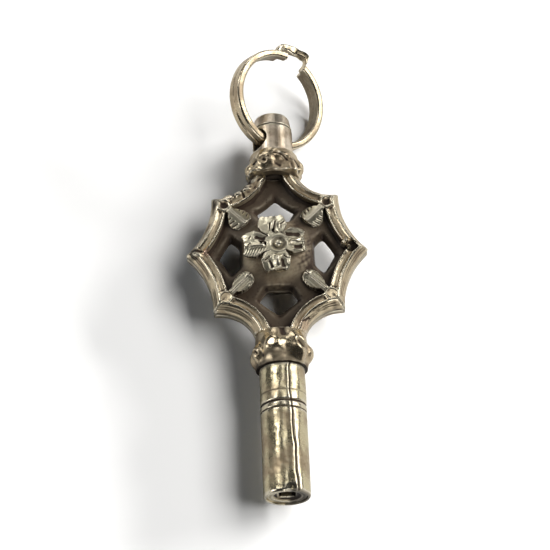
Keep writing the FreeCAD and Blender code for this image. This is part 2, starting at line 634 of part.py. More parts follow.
def barrel_sleeve():
    """The rolled sleeve: open along its seam, ringed below the knop, with a soft lip worn at the top."""
    lip_foot = BARREL_END + SLEEVE_LIP
    slant = SLEEVE_LIP * (1 - math.sqrt(0.5))
    edges = [
        segment(Vector(SLEEVE_BORE, BARREL_TOP, 0), Vector(BARREL_RADIUS, BARREL_TOP, 0)),
        segment(Vector(BARREL_RADIUS, BARREL_TOP, 0), Vector(BARREL_RADIUS, lip_foot, 0)),
        arc(Vector(BARREL_RADIUS, lip_foot, 0), Vector(BARREL_RADIUS - slant, BARREL_END + slant, 0),
            Vector(BARREL_RADIUS - SLEEVE_LIP, BARREL_END, 0)),
        segment(Vector(BARREL_RADIUS - SLEEVE_LIP, BARREL_END, 0), Vector(SLEEVE_BORE, BARREL_END, 0)),
        segment(Vector(SLEEVE_BORE, BARREL_END, 0), Vector(SLEEVE_BORE, BARREL_TOP, 0))]
    sleeve = closed_face(edges).revolve(ORIGIN, Y_AXIS, 360)
    cuts = [sleeve_ring(BARREL_TOP - UPPER_RING_PLACE, UPPER_RING_WIDTH),
            sleeve_ring(BARREL_TOP - BROAD_RING_PLACE, BROAD_RING_WIDTH),
            sleeve_ring(BARREL_TOP - LOWER_RING_PLACE, LOWER_RING_WIDTH)]
    slit = Part.makeBox(SLEEVE_SEAM_WIDTH, BARREL_LENGTH + 2 * OVERRUN, BARREL_RADIUS + OVERRUN,
                        Vector(-SLEEVE_SEAM_WIDTH / 2, BARREL_END - OVERRUN, 0))
    cuts.append(turned(slit, SLEEVE_SEAM_ANGLE, Y_AXIS))
    notch_foot = Vector(0, BARREL_END - SLEEVE_NOTCH_RADIUS + SLEEVE_NOTCH_REACH, 0)
    cuts.append(Part.makeCylinder(SLEEVE_NOTCH_RADIUS, BARREL_RADIUS + OVERRUN, notch_foot, Z_AXIS))
    return largest(sleeve.cut(cuts))


def sleeve_ring(place, width):
    """The cutter of one engraved ring, a hollow V round the sleeve."""
    floor = BARREL_RADIUS - SLEEVE_RING_DEPTH
    reach = BARREL_RADIUS + OVERRUN
    spread = width / 2 * reach / BARREL_RADIUS
    return turned_on_key([
        (floor, place - width / 4), (floor, place + width / 4), (BARREL_RADIUS, place + width / 2),
        (reach, place + spread), (reach, place - spread), (BARREL_RADIUS, place - width / 2)])


def socket_pipe():
    """The steel pipe with the square socket, broached from a round lead-in."""
    end = BARREL_END + PIPE_SETBACK
    pipe = along_key(SLEEVE_BORE - SEAT_CLEARANCE, end, BARREL_TOP)
    half = SOCKET_ACROSS / 2
    foot = Vector(-half, end - OVERRUN, -half)
    square = Part.makeBox(SOCKET_ACROSS, SOCKET_DEPTH + OVERRUN, SOCKET_ACROSS, foot)
    corner = half * math.sqrt(2)
    lead = Part.makeCone(corner + SOCKET_LEAD, corner, SOCKET_LEAD, Vector(0, end, 0), Y_AXIS)
    bore_end = BARREL_TOP - TANG_IN_PIPE - SEAT_CLEARANCE
    tang_bore = along_key(TANG_RADIUS + SEAT_CLEARANCE, bore_end, BARREL_TOP + OVERRUN)
    return pipe.cut([square, lead, tang_bore])


def barrel_tang():
    """The peg in the pipe and the lower knop, with a thin tip in the web of the head."""
    tip = along_key(TANG_TIP_RADIUS, -LOWER_SEAT + TANG_IN_HEAD, -LOWER_SEAT)
    return joined([along_key(TANG_RADIUS, -LOWER_SEAT, BARREL_TOP - TANG_IN_PIPE), tip])


def leaves(head):
    """All eight leaves by name: two front leaves, mirrored to the left and to the back."""
    rights = {
        "upper": leaf(head, UPPER_LEAF_LENGTH, UPPER_LEAF_HALF_WIDTH, QUARTER_TURN / 2),
        "lower": leaf(head, LOWER_LEAF_LENGTH, LOWER_LEAF_HALF_WIDTH, -QUARTER_TURN / 2)}
    pieces = {}
    for level, right in rights.items():
        for side, front in (("right", right), ("left", right.mirror(ORIGIN, X_AXIS))):
            pieces["leaf_front_" + level + "_" + side] = front
            pieces["leaf_back_" + level + "_" + side] = mirrored_back(front)
    return pieces


def build():
    """Every piece about the key's own axis, by node name."""
    head = head_half()
    front_flower = flower()
    pieces = {
        "head_frame_front": head,
        "head_frame_back": mirrored_back(head),
        "flower_front": front_flower,
        "flower_back": mirrored_back(front_flower),
        "centre_rivet": centre_rivet(),
        "upper_knop": upper_knop(),
        "lower_knop": lower_knop(),
        "barrel_sleeve": barrel_sleeve(),
        "socket_pipe": socket_pipe(),
        "barrel_tang": barrel_tang(),
        "swivel_post": swivel_post(),
        "post_cap": post_cap(),
        "swivel_pin": swivel_pin(),
        "swivel_washer": swivel_washer(),
        "split_ring": split_ring(),
    }
    pieces.update(leaves(head))
    return pieces


def main():
    pieces = build()
    box = Part.makeCompound(list(pieces.values())).optimalBoundingBox()
    rest = Vector(-box.Center.x, -box.Center.y, -box.ZMin)
    os.makedirs("parts", exist_ok=True)
    for name, shape in pieces.items():
        placed = moved(shape, rest)
        placed.exportStep("parts/" + name + ".step")
        print(name, "valid" if placed.isValid() else "INVALID", len(placed.Solids), round(placed.Volume, 4))
    middle, across, hang, face = ring_frame()
    print("box", box, "rest", rest)
    print("cross hole", middle + rest, "direction", across)


main()
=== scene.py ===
"""Looks of a gilt fob watch key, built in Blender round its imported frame.

Lengths named here are millimetres in the key's own frame: the key's axis is Y, the middle
of the head is zero and Z points up from the table. Meshes are in metres in the row frame.
"""

import logging
import math
from collections.abc import Sequence
from dataclasses import dataclass
from enum import Enum

import bmesh
import bpy
import numpy as np
from mathutils import Matrix, Vector


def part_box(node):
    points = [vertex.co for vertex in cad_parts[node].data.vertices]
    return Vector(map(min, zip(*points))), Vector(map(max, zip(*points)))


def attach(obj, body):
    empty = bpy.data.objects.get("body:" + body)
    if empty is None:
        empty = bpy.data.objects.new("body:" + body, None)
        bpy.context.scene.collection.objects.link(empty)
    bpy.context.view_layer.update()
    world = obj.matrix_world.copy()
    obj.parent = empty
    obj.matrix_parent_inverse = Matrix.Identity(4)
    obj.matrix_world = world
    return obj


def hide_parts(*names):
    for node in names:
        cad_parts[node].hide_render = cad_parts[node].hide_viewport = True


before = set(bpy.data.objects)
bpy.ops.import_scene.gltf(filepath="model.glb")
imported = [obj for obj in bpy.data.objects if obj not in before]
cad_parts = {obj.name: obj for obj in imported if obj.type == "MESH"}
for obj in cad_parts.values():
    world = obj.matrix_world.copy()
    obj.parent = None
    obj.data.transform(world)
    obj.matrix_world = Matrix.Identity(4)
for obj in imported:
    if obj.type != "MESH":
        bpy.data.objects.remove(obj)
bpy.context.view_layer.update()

MM = 0.001
WELD = 0.0005
LOG = logging.getLogger("watch_key")

Colour = tuple[float, float, float]
# Where an easing starts, and where it is whole
Span = tuple[float, float]
Points = np.ndarray


class Slot(Enum):
    """The record's material slots."""

    HEAD = "gilt_head"
    ORNAMENT = "gilt_ornament"
    KNOP = "gilt_knop"
    BARREL = "gilt_barrel"
    POST = "gilt_post"
    RING = "gilt_ring"
    STEEL = "pipe_steel"


class Body(Enum):
    """The bodies that pieces ride on."""

    KEY = "key"
    SWIVEL = "swivel"
    RING = "ring"


def key_origin() -> Vector:
    """Give the row-frame place of the head's middle, on the key's axis, in metres."""
    low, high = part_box("centre_rivet")
    return (low + high) / 2


ORIGIN = key_origin()


def to_key(points: Points) -> Points:
    """Turn row-frame metres into key-frame millimetres."""
    return (points - np.array(ORIGIN)) / MM


def to_row(points: Points) -> Points:
    """Turn key-frame millimetres into row-frame metres."""
    return points * MM + np.array(ORIGIN)


def smoothstep(values: Points, low: float, high: float) -> Points:
    """Ease values from 0 at low to 1 at high."""
    share = np.clip((values - low) / (high - low), 0.0, 1.0)
    return share * share * (3.0 - 2.0 * share)


def ripple(points: Points, wavelength: float, seed: int, waves: int = 9) -> Points:
    """Give a smooth irregular field between about -1 and 1, the same at each run.

    Args:
        points: Places in millimetres.
        wavelength: Typical length of one hill and hollow, in millimetres.
        seed: Picks one field out of many.
        waves: How many plane waves are added.

    Returns:
        One value for each point.
    """
    random = np.random.default_rng(seed)
    directions = random.normal(size=(waves, 3))
    directions /= np.linalg.norm(directions, axis=1, keepdims=True)
    rates = 2.0 * math.pi / wavelength * random.uniform(0.7, 1.5, waves)
    phases = random.uniform(0.0, 2.0 * math.pi, waves)
    field = np.sin(points @ (directions * rates[:, None]).T + phases)
    return field.sum(axis=1) / math.sqrt(waves * 2.0)


class Value:
    """A shader socket, on which arithmetic adds Math nodes."""

    def __init__(self, graph: "Graph", socket: bpy.types.NodeSocket) -> None:
        """Wrap one output socket."""
        self.graph = graph
        self.socket = socket

    def _math(self, operation: str, first: "Value | float", second: "Value | float",
              clamp: bool = False) -> "Value":
        """Add one Math node."""
        settings = {"operation": operation, "use_clamp": clamp}
        node = self.graph.add("ShaderNodeMath", settings, {0: first, 1: second})
        return Value(self.graph, node.outputs[0])

    def __add__(self, other: "Value | float") -> "Value":
        """Add."""
        return self._math("ADD", self, other)

    def __radd__(self, other: float) -> "Value":
        """Add to a number."""
        return self._math("ADD", other, self)

    def __sub__(self, other: "Value | float") -> "Value":
        """Subtract."""
        return self._math("SUBTRACT", self, other)

    def __rsub__(self, other: float) -> "Value":
        """Subtract from a number."""
        return self._math("SUBTRACT", other, self)

    def __mul__(self, other: "Value | float") -> "Value":
        """Multiply."""
        return self._math("MULTIPLY", self, other)

    def clamped(self) -> "Value":
        """Keep between 0 and 1."""
        return self._math("ADD", self, 0.0, clamp=True)

    def ramp(self, low: float, high: float) -> "Value":
        """Ease from 0 to 1 as the value goes from low to high."""
        node = self.graph.add(
            "ShaderNodeMapRange", {"interpolation_type": "SMOOTHSTEP"},
            {"Value": self, "From Min": low, "From Max": high, "To Min": 0.0, "To Max": 1.0})
        return Value(self.graph, node.outputs[0])


class Graph:
    """The node tree of one material, filled through one method."""

    def __init__(self, name: str) -> None:
        """Start an empty material."""
        self.material = bpy.data.materials.new(name)
        self.material.use_nodes = True
        self.tree = self.material.node_tree
        self.tree.nodes.clear()
        self.output = self.tree.nodes.new("ShaderNodeOutputMaterial")

    def add(self, kind: str, settings: dict[str, object] | None = None,
            inputs: dict[str | int, object] | None = None) -> bpy.types.Node:
        """Add a node.

        Args:
            kind: The node's type.
            settings: Properties, set before the inputs.
            inputs: Values, sockets or Values by socket name or number.

        Returns:
            The new node.
        """
        node = self.tree.nodes.new(kind)
        for name, value in (settings or {}).items():
            setattr(node, name, value)
        for name, value in (inputs or {}).items():
            socket = node.inputs[name]
            if isinstance(value, Value):
                self.tree.links.new(value.socket, socket)
            elif isinstance(value, bpy.types.NodeSocket):
                self.tree.links.new(value, socket)
            else:
                socket.default_value = value
        return node

    def position(self) -> bpy.types.NodeSocket:
        """Give the place on the piece in millimetres."""
        coordinates = self.add("ShaderNodeTexCoord")
        scaled = self.add("ShaderNodeVectorMath", {"operation": "SCALE"},
                          {0: coordinates.outputs["Object"], "Scale": 1.0 / MM})
        return scaled.outputs[0]

    def attribute(self, name: str) -> Value:
        """Read a number that is stored on the mesh."""
        node = self.add("ShaderNodeAttribute", {"attribute_name": name})
        return Value(self, node.outputs["Fac"])

    def noise(self, place: bpy.types.NodeSocket, per_mm: float, detail: float = 3.0,
              rough: float = 0.55) -> Value:
        """Add a noise with so many features to the millimetre."""
        node = self.add("ShaderNodeTexNoise", None,
                        {"Vector": place, "Scale": per_mm, "Detail": detail, "Roughness": rough})
        return Value(self, node.outputs["Fac"])

    def blend(self, share: Value, first: object, second: object) -> bpy.types.NodeSocket:
        """Mix two colours."""
        node = self.add("ShaderNodeMix", {"data_type": "RGBA"}, {0: share})
        # The node's first sockets are for numbers and vectors, its last for colours
        for socket, value in ((node.inputs[6], first), (node.inputs[7], second)):
            if isinstance(value, bpy.types.NodeSocket):
                self.tree.links.new(value, socket)
            else:
                socket.default_value = (*value, 1.0)
        return node.outputs[2]

    def finish(self, shader: bpy.types.Node) -> bpy.types.Material:
        """Join the shader to the output."""
        self.tree.links.new(shader.outputs[0], self.output.inputs["Surface"])
        return self.material


@dataclass(frozen=True)
class AgedGilt:
    """Rubbed gilding with brown dirt and painted shade in its hollows.

    The mesh carries three numbers: relief, 0 in hollows and 1 on edges, the dirt and painted shade,
    0 where there is none, and blush, 1 where the copper shows.
    """

    metal: Colour = (0.76, 0.64, 0.44)
    edge: Colour = (0.92, 0.84, 0.66)
    dull: Colour = (0.46, 0.35, 0.23)
    copper: Colour = (0.55, 0.26, 0.18)
    # The colour of the dirt, which also stands for painted shade in the hollows
    dirt: Colour = (0.034, 0.022, 0.015)
    polish: float = 0.21
    dullness: float = 0.36
    grain: float = 0.16
    grain_depth: float = 0.03
    clouds_per_mm: float = 0.45
    specks_per_mm: float = 3.2
    grains_per_mm: float = 14.0

    def material(self, name: str) -> bpy.types.Material:
        """Build the finish."""
        graph = Graph(name)
        place = graph.position()
        relief = graph.attribute("relief")
        grime_and_shade = graph.attribute("grime_and_shade")
        blush = graph.attribute("blush")
        cloud = graph.noise(place, self.clouds_per_mm, 4.0)
        speck = graph.noise(place, self.specks_per_mm, 4.0, 0.65)
        fine = graph.noise(place, self.grains_per_mm, 3.0)
        worn = relief.ramp(0.56, 0.80)
        tarnish = (cloud.ramp(0.40, 0.66) * 0.8 + speck.ramp(0.50, 0.72) * 0.35 - worn * 0.7).clamped()
        # Painted shade in the hollows from the relief, added to the stored dirt and painted shade and to
        # specks of dirt
        hollow = (relief.ramp(0.47, 0.20) + grime_and_shade + speck.ramp(0.60, 0.74) * 0.22 - worn * 0.25).clamped()
        colour = graph.blend(tarnish, self.metal, self.dull)
        colour = graph.blend(worn, colour, self.edge)
        colour = graph.blend(blush, colour, self.copper)
        colour = graph.blend(hollow, colour, self.dirt)
        rough = (self.polish + tarnish * (self.dullness - self.polish) + hollow * 0.25
                 + fine.ramp(0.35, 0.75) * 0.06)
        bump = graph.add("ShaderNodeBump", None, {
            "Strength": self.grain, "Distance": self.grain_depth * MM, "Height": fine * 0.5 + speck * 0.8})
        shader = graph.add("ShaderNodeBsdfPrincipled", None, {
            "Base Color": colour, "Roughness": rough.clamped(), "Metallic": 1.0 - hollow * 0.6,
            "Normal": bump.outputs[0]})
        return graph.finish(shader)


@dataclass(frozen=True)
class DarkSteel:
    """Oiled dark steel of the hidden tang, pin and washer, with fine turning marks."""

    metal: Colour = (0.30, 0.26, 0.22)
    rust: Colour = (0.16, 0.11, 0.08)
    blotches_per_mm: float = 1.1
    marks_per_mm: float = 9.0
    mark_depth: float = 0.02

    def material(self, name: str) -> bpy.types.Material:
        """Build the finish."""
        graph = Graph(name)
        place = graph.position()
        blotch = graph.noise(place, self.blotches_per_mm, 4.0).ramp(0.45, 0.65)
        marks = graph.noise(place, self.marks_per_mm, 2.0)
        colour = graph.blend(blotch, self.metal, self.rust)
        bump = graph.add("ShaderNodeBump", None, {
            "Strength": 0.3, "Distance": self.mark_depth * MM, "Height": marks})
        shader = graph.add("ShaderNodeBsdfPrincipled", None, {
            "Base Color": colour, "Roughness": 0.42 + blotch * 0.3, "Metallic": 0.9 - blotch * 0.4,
            "Normal": bump.outputs[0]})
        return graph.finish(shader)


class Skin:
    """Reads and writes the vertices of a mesh as arrays."""

    # Rounds of smoothing, and the weight of what stands out of each
    relief_scales: tuple[tuple[int, float], ...] = ((4, 2.4), (16, 1.2), (60, 0.6))

    def __init__(self, mesh: bpy.types.Mesh) -> None:
        """Hold the mesh and its edges."""
        self.mesh = mesh
        self.count = len(mesh.vertices)
        ends = np.zeros(len(mesh.edges) * 2, np.int64)
        mesh.edges.foreach_get("vertices", ends)
        self.ends = ends.reshape(-1, 2)
        degree = np.bincount(self.ends.ravel(), minlength=self.count)
        self.degree = np.maximum(degree, 1)[:, None]

    def points(self) -> Points:
        """Read the places in key-frame millimetres."""
        flat = np.zeros(self.count * 3, np.float64)
        self.mesh.vertices.foreach_get("co", flat)
        return to_key(flat.reshape(-1, 3))

    def set_points(self, points: Points) -> None:
        """Write the places."""
        self.mesh.vertices.foreach_set("co", to_row(points).astype(np.float64).ravel())
        self.mesh.update()

    def normals(self) -> Points:
        """Read the normals."""
        flat = np.zeros(self.count * 3, np.float64)
        self.mesh.vertices.foreach_get("normal", flat)
        return flat.reshape(-1, 3)

    def averaged(self, values: Points, rounds: int) -> Points:
        """Move each vertex's values halfway to its neighbours' mean, so many times."""
        first, second = self.ends[:, 0], self.ends[:, 1]
        current = values.reshape(self.count, -1).astype(np.float64)
        for _ in range(rounds):
            total = np.empty_like(current)
            for column in range(current.shape[1]):
                total[:, column] = (
                    np.bincount(first, current[second, column], self.count)
                    + np.bincount(second, current[first, column], self.count))
            current = 0.5 * current + 0.5 * total / self.degree
        return current

    def store(self, name: str, values: Points) -> None:
        """Keep one number for each vertex on the mesh."""
        attribute = self.mesh.attributes.get(name) or self.mesh.attributes.new(name, "FLOAT", "POINT")
        attribute.data.foreach_set("value", values.astype(np.float32).ravel())

    def store_relief(self, depth: float) -> None:
        """Store how far each vertex stands out of its surroundings, from 0 in hollows to 1 on edges.

        Args:
            depth: The hollow, in millimetres, that counts as 0.
        """
        points = self.points()
        normals = self.normals()
        standing = np.zeros(self.count)
        for rounds, weight in self.relief_scales:
            smooth = self.averaged(points, rounds)
            standing += weight * np.einsum("ij,ij->i", points - smooth, normals)
        relief = self.averaged(np.clip(0.5 + standing / (2.0 * depth), 0.0, 1.0), 2)
        self.store("relief", relief)


@dataclass(frozen=True)
class Piece:
    """One finished piece of the key and what it stands for."""

    name: str
    nodes: tuple[str, ...]
    body: Body
    slot: Slot


def place_piece(piece: Piece, thing: bpy.types.Object, material: bpy.types.Material) -> None:
    """Give a piece its body and finish, and hide the nodes that it stands for."""
    thing.name = piece.name
    thing.data.name = piece.name
    thing.data.materials.clear()
    thing.data.materials.append(material)
    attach(thing, piece.body.value)
    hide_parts(*piece.nodes)
    LOG.info("%s: %d faces", piece.name, len(thing.data.polygons))


def link(mesh: bpy.types.Mesh, name: str) -> bpy.types.Object:
    """Put a mesh into the scene as an object at the origin."""
    thing = bpy.data.objects.new(name, mesh)
    bpy.context.scene.collection.objects.link(thing)
    return thing


def baked(thing: bpy.types.Object) -> bpy.types.Object:
    """Apply the modifiers of an object."""
    depsgraph = bpy.context.evaluated_depsgraph_get()
    mesh = bpy.data.meshes.new_from_object(thing.evaluated_get(depsgraph))
    thing.modifiers.clear()
    thing.data = mesh
    return thing


def cast_copy(node: str, voxel: float, softness: int) -> bpy.types.Object:
    """Copy a CAD node and remesh it finely, with its edges worn round as on a casting.

    Args:
        node: The CAD node.
        voxel: Edge of the remeshing grid, in millimetres.
        softness: Rounds of smoothing.

    Returns:
        The new object.
    """
    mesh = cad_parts[node].data.copy()
    shell = bmesh.new()
    shell.from_mesh(mesh)
    bmesh.ops.remove_doubles(shell, verts=shell.verts, dist=WELD * MM)
    shell.to_mesh(mesh)
    shell.free()
    thing = link(mesh, node + "_cast")
    remesh = thing.modifiers.new("remesh", "REMESH")
    remesh.mode = "VOXEL"
    remesh.voxel_size = voxel * MM
    smooth = thing.modifiers.new("smooth", "SMOOTH")
    smooth.factor = 0.5
    smooth.iterations = softness
    baked(thing)
    thing.data.materials.clear()
    thing.data.shade_smooth()
    return thing


@dataclass(frozen=True)
class Spot:
    """A round patch seen from the front, at a place on the key."""

    x: float
    y: float
    radius: float
    strength: float = 1.0
    core_share: float = 0.35

    def share(self, points: Points) -> Points:
        """Give the patch's strength at each point."""
        away = np.hypot(points[:, 0] - self.x, points[:, 1] - self.y)
        return self.strength * smoothstep(away, self.radius, self.radius * self.core_share)


def patches(points: Points, spots: Sequence[Spot]) -> Points:
    """Add up some patches."""
    return sum((spot.share(points) for spot in spots), np.zeros(len(points)))


def near(values: Points, middle: float, half_width: float) -> Points:
    """Give 1 at a value and fall off smoothly on both sides."""
    return np.exp(-(((values - middle) / half_width) ** 2))


def from_axis(points: Points) -> Points:
    """Give each point's distance from the key's axis."""
    return np.hypot(points[:, 0], points[:, 2])


def from_middle(points: Points) -> Points:
    """Give each point's distance from the middle of the head, seen from the front."""
    return np.hypot(points[:, 0], points[:, 1])


def turn_from_top(points: Points) -> Points:
    """Give each point's turn about the key's axis, from the top to the right, in degrees."""
    return np.degrees(np.arctan2(points[:, 0], points[:, 2]))


def turn_from_right(points: Points) -> Points:
    """Give each point's turn about the middle of the head, seen from the front, in degrees."""
    return np.degrees(np.arctan2(points[:, 1], points[:, 0]))


def facing(normals: Points, low: float, high: float) -> Points:
    """Ease from 0 to 1 as a surface goes from low to high, where 0 is upright and 1 is level."""
    return smoothstep(np.abs(normals[:, 2]), low, high)


@dataclass(frozen=True)
class Stroke:
    """A short hand-cut groove, or a ridge where the depth is below zero, seen from the front."""

    start: tuple[float, float]
    end: tuple[float, float]
    half_width: float
    depth: float
    dirt: float = 0.0

    def share(self, points: Points) -> Points:
        """Give 1 along the stroke and 0 well away from it."""
        start, end = np.array(self.start), np.array(self.end)
        way = end - start
        along = np.clip((points[:, :2] - start) @ way / max(float(way @ way), 1e-9), 0.0, 1.0)
        away = points[:, :2] - start - along[:, None] * way
        return near(np.hypot(away[:, 0], away[:, 1]), 0.0, self.half_width)


def depth_of(points: Points, strokes: Sequence[Stroke]) -> Points:
    """Give how deep some strokes cut, in millimetres."""
    return sum((stroke.depth * stroke.share(points) for stroke in strokes), np.zeros(len(points)))


def dirt_of(points: Points, strokes: Sequence[Stroke]) -> Points:
    """Give the dirt that lies in some strokes."""
    return sum((stroke.dirt * stroke.share(points) for stroke in strokes), np.zeros(len(points)))


@dataclass(frozen=True)
class Unevenness:
    """One size of hill and hollow, with its wavelength in millimetres.

    The height is in millimetres where it shapes metal, and a share of 1 where it stains.
    """

    height: float
    wavelength: float
    seed: int


WEAR = (Unevenness(0.012, 1.6, 3), Unevenness(0.004, 0.5, 4))


def uneven(points: Points, sizes: Sequence[Unevenness]) -> Points:
    """Add up some sizes of hill and hollow."""
    return sum(size.height * ripple(points, size.wavelength, size.seed) for size in sizes)


def wear(points: Points) -> Points:
    """Give the small unevenness of old rubbed metal, in millimetres."""
    return uneven(points, WEAR)


class Carver:
    """How one kind of piece is carved and stained. The plain one only wears it."""

    melt_rounds: int = 0

    def melt(self, points: Points) -> Points:
        """Give how far each vertex gives way to the rounding of its surroundings, from 0 to 1."""
        return np.zeros(len(points))

    def shape(self, points: Points) -> Points:
        """Give the vertices' places after larger forms are set right."""
        return points

    def carve(self, points: Points, normals: Points) -> Points:
        """Give each vertex's shift, in millimetres."""
        return normals * wear(points)[:, None]

    def grime_and_shade(self, points: Points, normals: Points) -> Points:
        """Give the dirt and painted shade, from 0 to 1."""
        return np.zeros(len(points))

    def blush(self, points: Points) -> Points:
        """Give the copper that shows, from 0 to 1."""
        return np.zeros(len(points))


@dataclass
class CarvedPiece:
    """A node copied, remeshed and carved by moving its vertices."""

    piece: Piece
    voxel: float
    softness: int
    hollow: float
    carver: Carver

    def build(self, material: bpy.types.Material) -> None:
        """Make the piece."""
        thing = cast_copy(self.piece.nodes[0], self.voxel, self.softness)
        skin = Skin(thing.data)
        points = skin.points()
        if self.carver.melt_rounds:
            molten = skin.averaged(points, self.carver.melt_rounds)
            points += self.carver.melt(points)[:, None] * (molten - points)
        skin.set_points(self.carver.shape(points))
        points = skin.points()
        normals = skin.normals()
        skin.set_points(points + self.carver.carve(points, normals))
        skin.store_relief(self.hollow)
        skin.store("grime_and_shade", np.clip(self.carver.grime_and_shade(points, normals), 0.0, 1.0))
        skin.store("blush", np.clip(self.carver.blush(points), 0.0, 1.0))
        place_piece(self.piece, thing, material)


@dataclass(frozen=True)
class BarPlan:
    """Where the eight bars of the head run, seen from the front."""

    cusp: float = 8.75
    hollow: float = 0.74
    width: float = 1.5
    neck_half: float = 2.38
    neck_radius: float = 3.6
    upper_seat: float = 8.2
    lower_seat: float = 8.55
    count: int = 8
    neck_steps: tuple[int, ...] = (1, 2, 5, 6)

    def ends(self, step: int) -> tuple[Points, Points]:
        """Give the two ends of a bar."""
        turns = (2 * math.pi * place / self.count for place in (step, step + 1))
        first, second = (np.array([math.cos(turn), math.sin(turn)]) * self.cusp for turn in turns)
        upper = np.array([self.neck_half, self.upper_seat])
        lower = np.array([self.neck_half, -self.lower_seat])
        left = np.array([-1.0, 1.0])
        necks = {1: (first, upper), 2: (upper * left, second), 5: (first, lower * left), 6: (lower, second)}
        return necks.get(step, (first, second))

    def circle(self, step: int) -> tuple[Points, float]:
        """Give the centre and the radius of a bar's hollow outer side."""
        first, second = self.ends(step)
        half_chord = float(np.linalg.norm(second - first)) / 2
        whole = self.cusp * math.sin(math.pi / self.count)
        radius = (whole ** 2 + self.hollow ** 2) / (2 * self.hollow)
        if step in self.neck_steps:
            radius = self.neck_radius
        away = first - second
        outward = np.array([-away[1], away[0]]) / np.linalg.norm(away)
        return (first + second) / 2 + outward * math.sqrt(radius ** 2 - half_chord ** 2), radius

    def across(self, points: Points) -> Points:
        """Give how far each point lies inward of the outer side of its own bar."""
        turn = np.mod(np.arctan2(points[:, 1], points[:, 0]), 2 * math.pi)
        own = np.minimum((turn / (2 * math.pi / self.count)).astype(int), self.count - 1)
        inward = np.zeros(len(points))
        for step in range(self.count):
            centre, radius = self.circle(step)
            mine = own == step
            inward[mine] = np.hypot(*(points[mine, :2] - centre).T) - radius
        return inward

    def beside_cusp(self, points: Points) -> Points:
        """Give each point's distance from the nearest mitre between two bars."""
        step = 360.0 / self.count
        off = np.abs(np.mod(turn_from_right(points) / step + 0.5, 1.0) - 0.5) * step
        return np.radians(off) * from_middle(points)


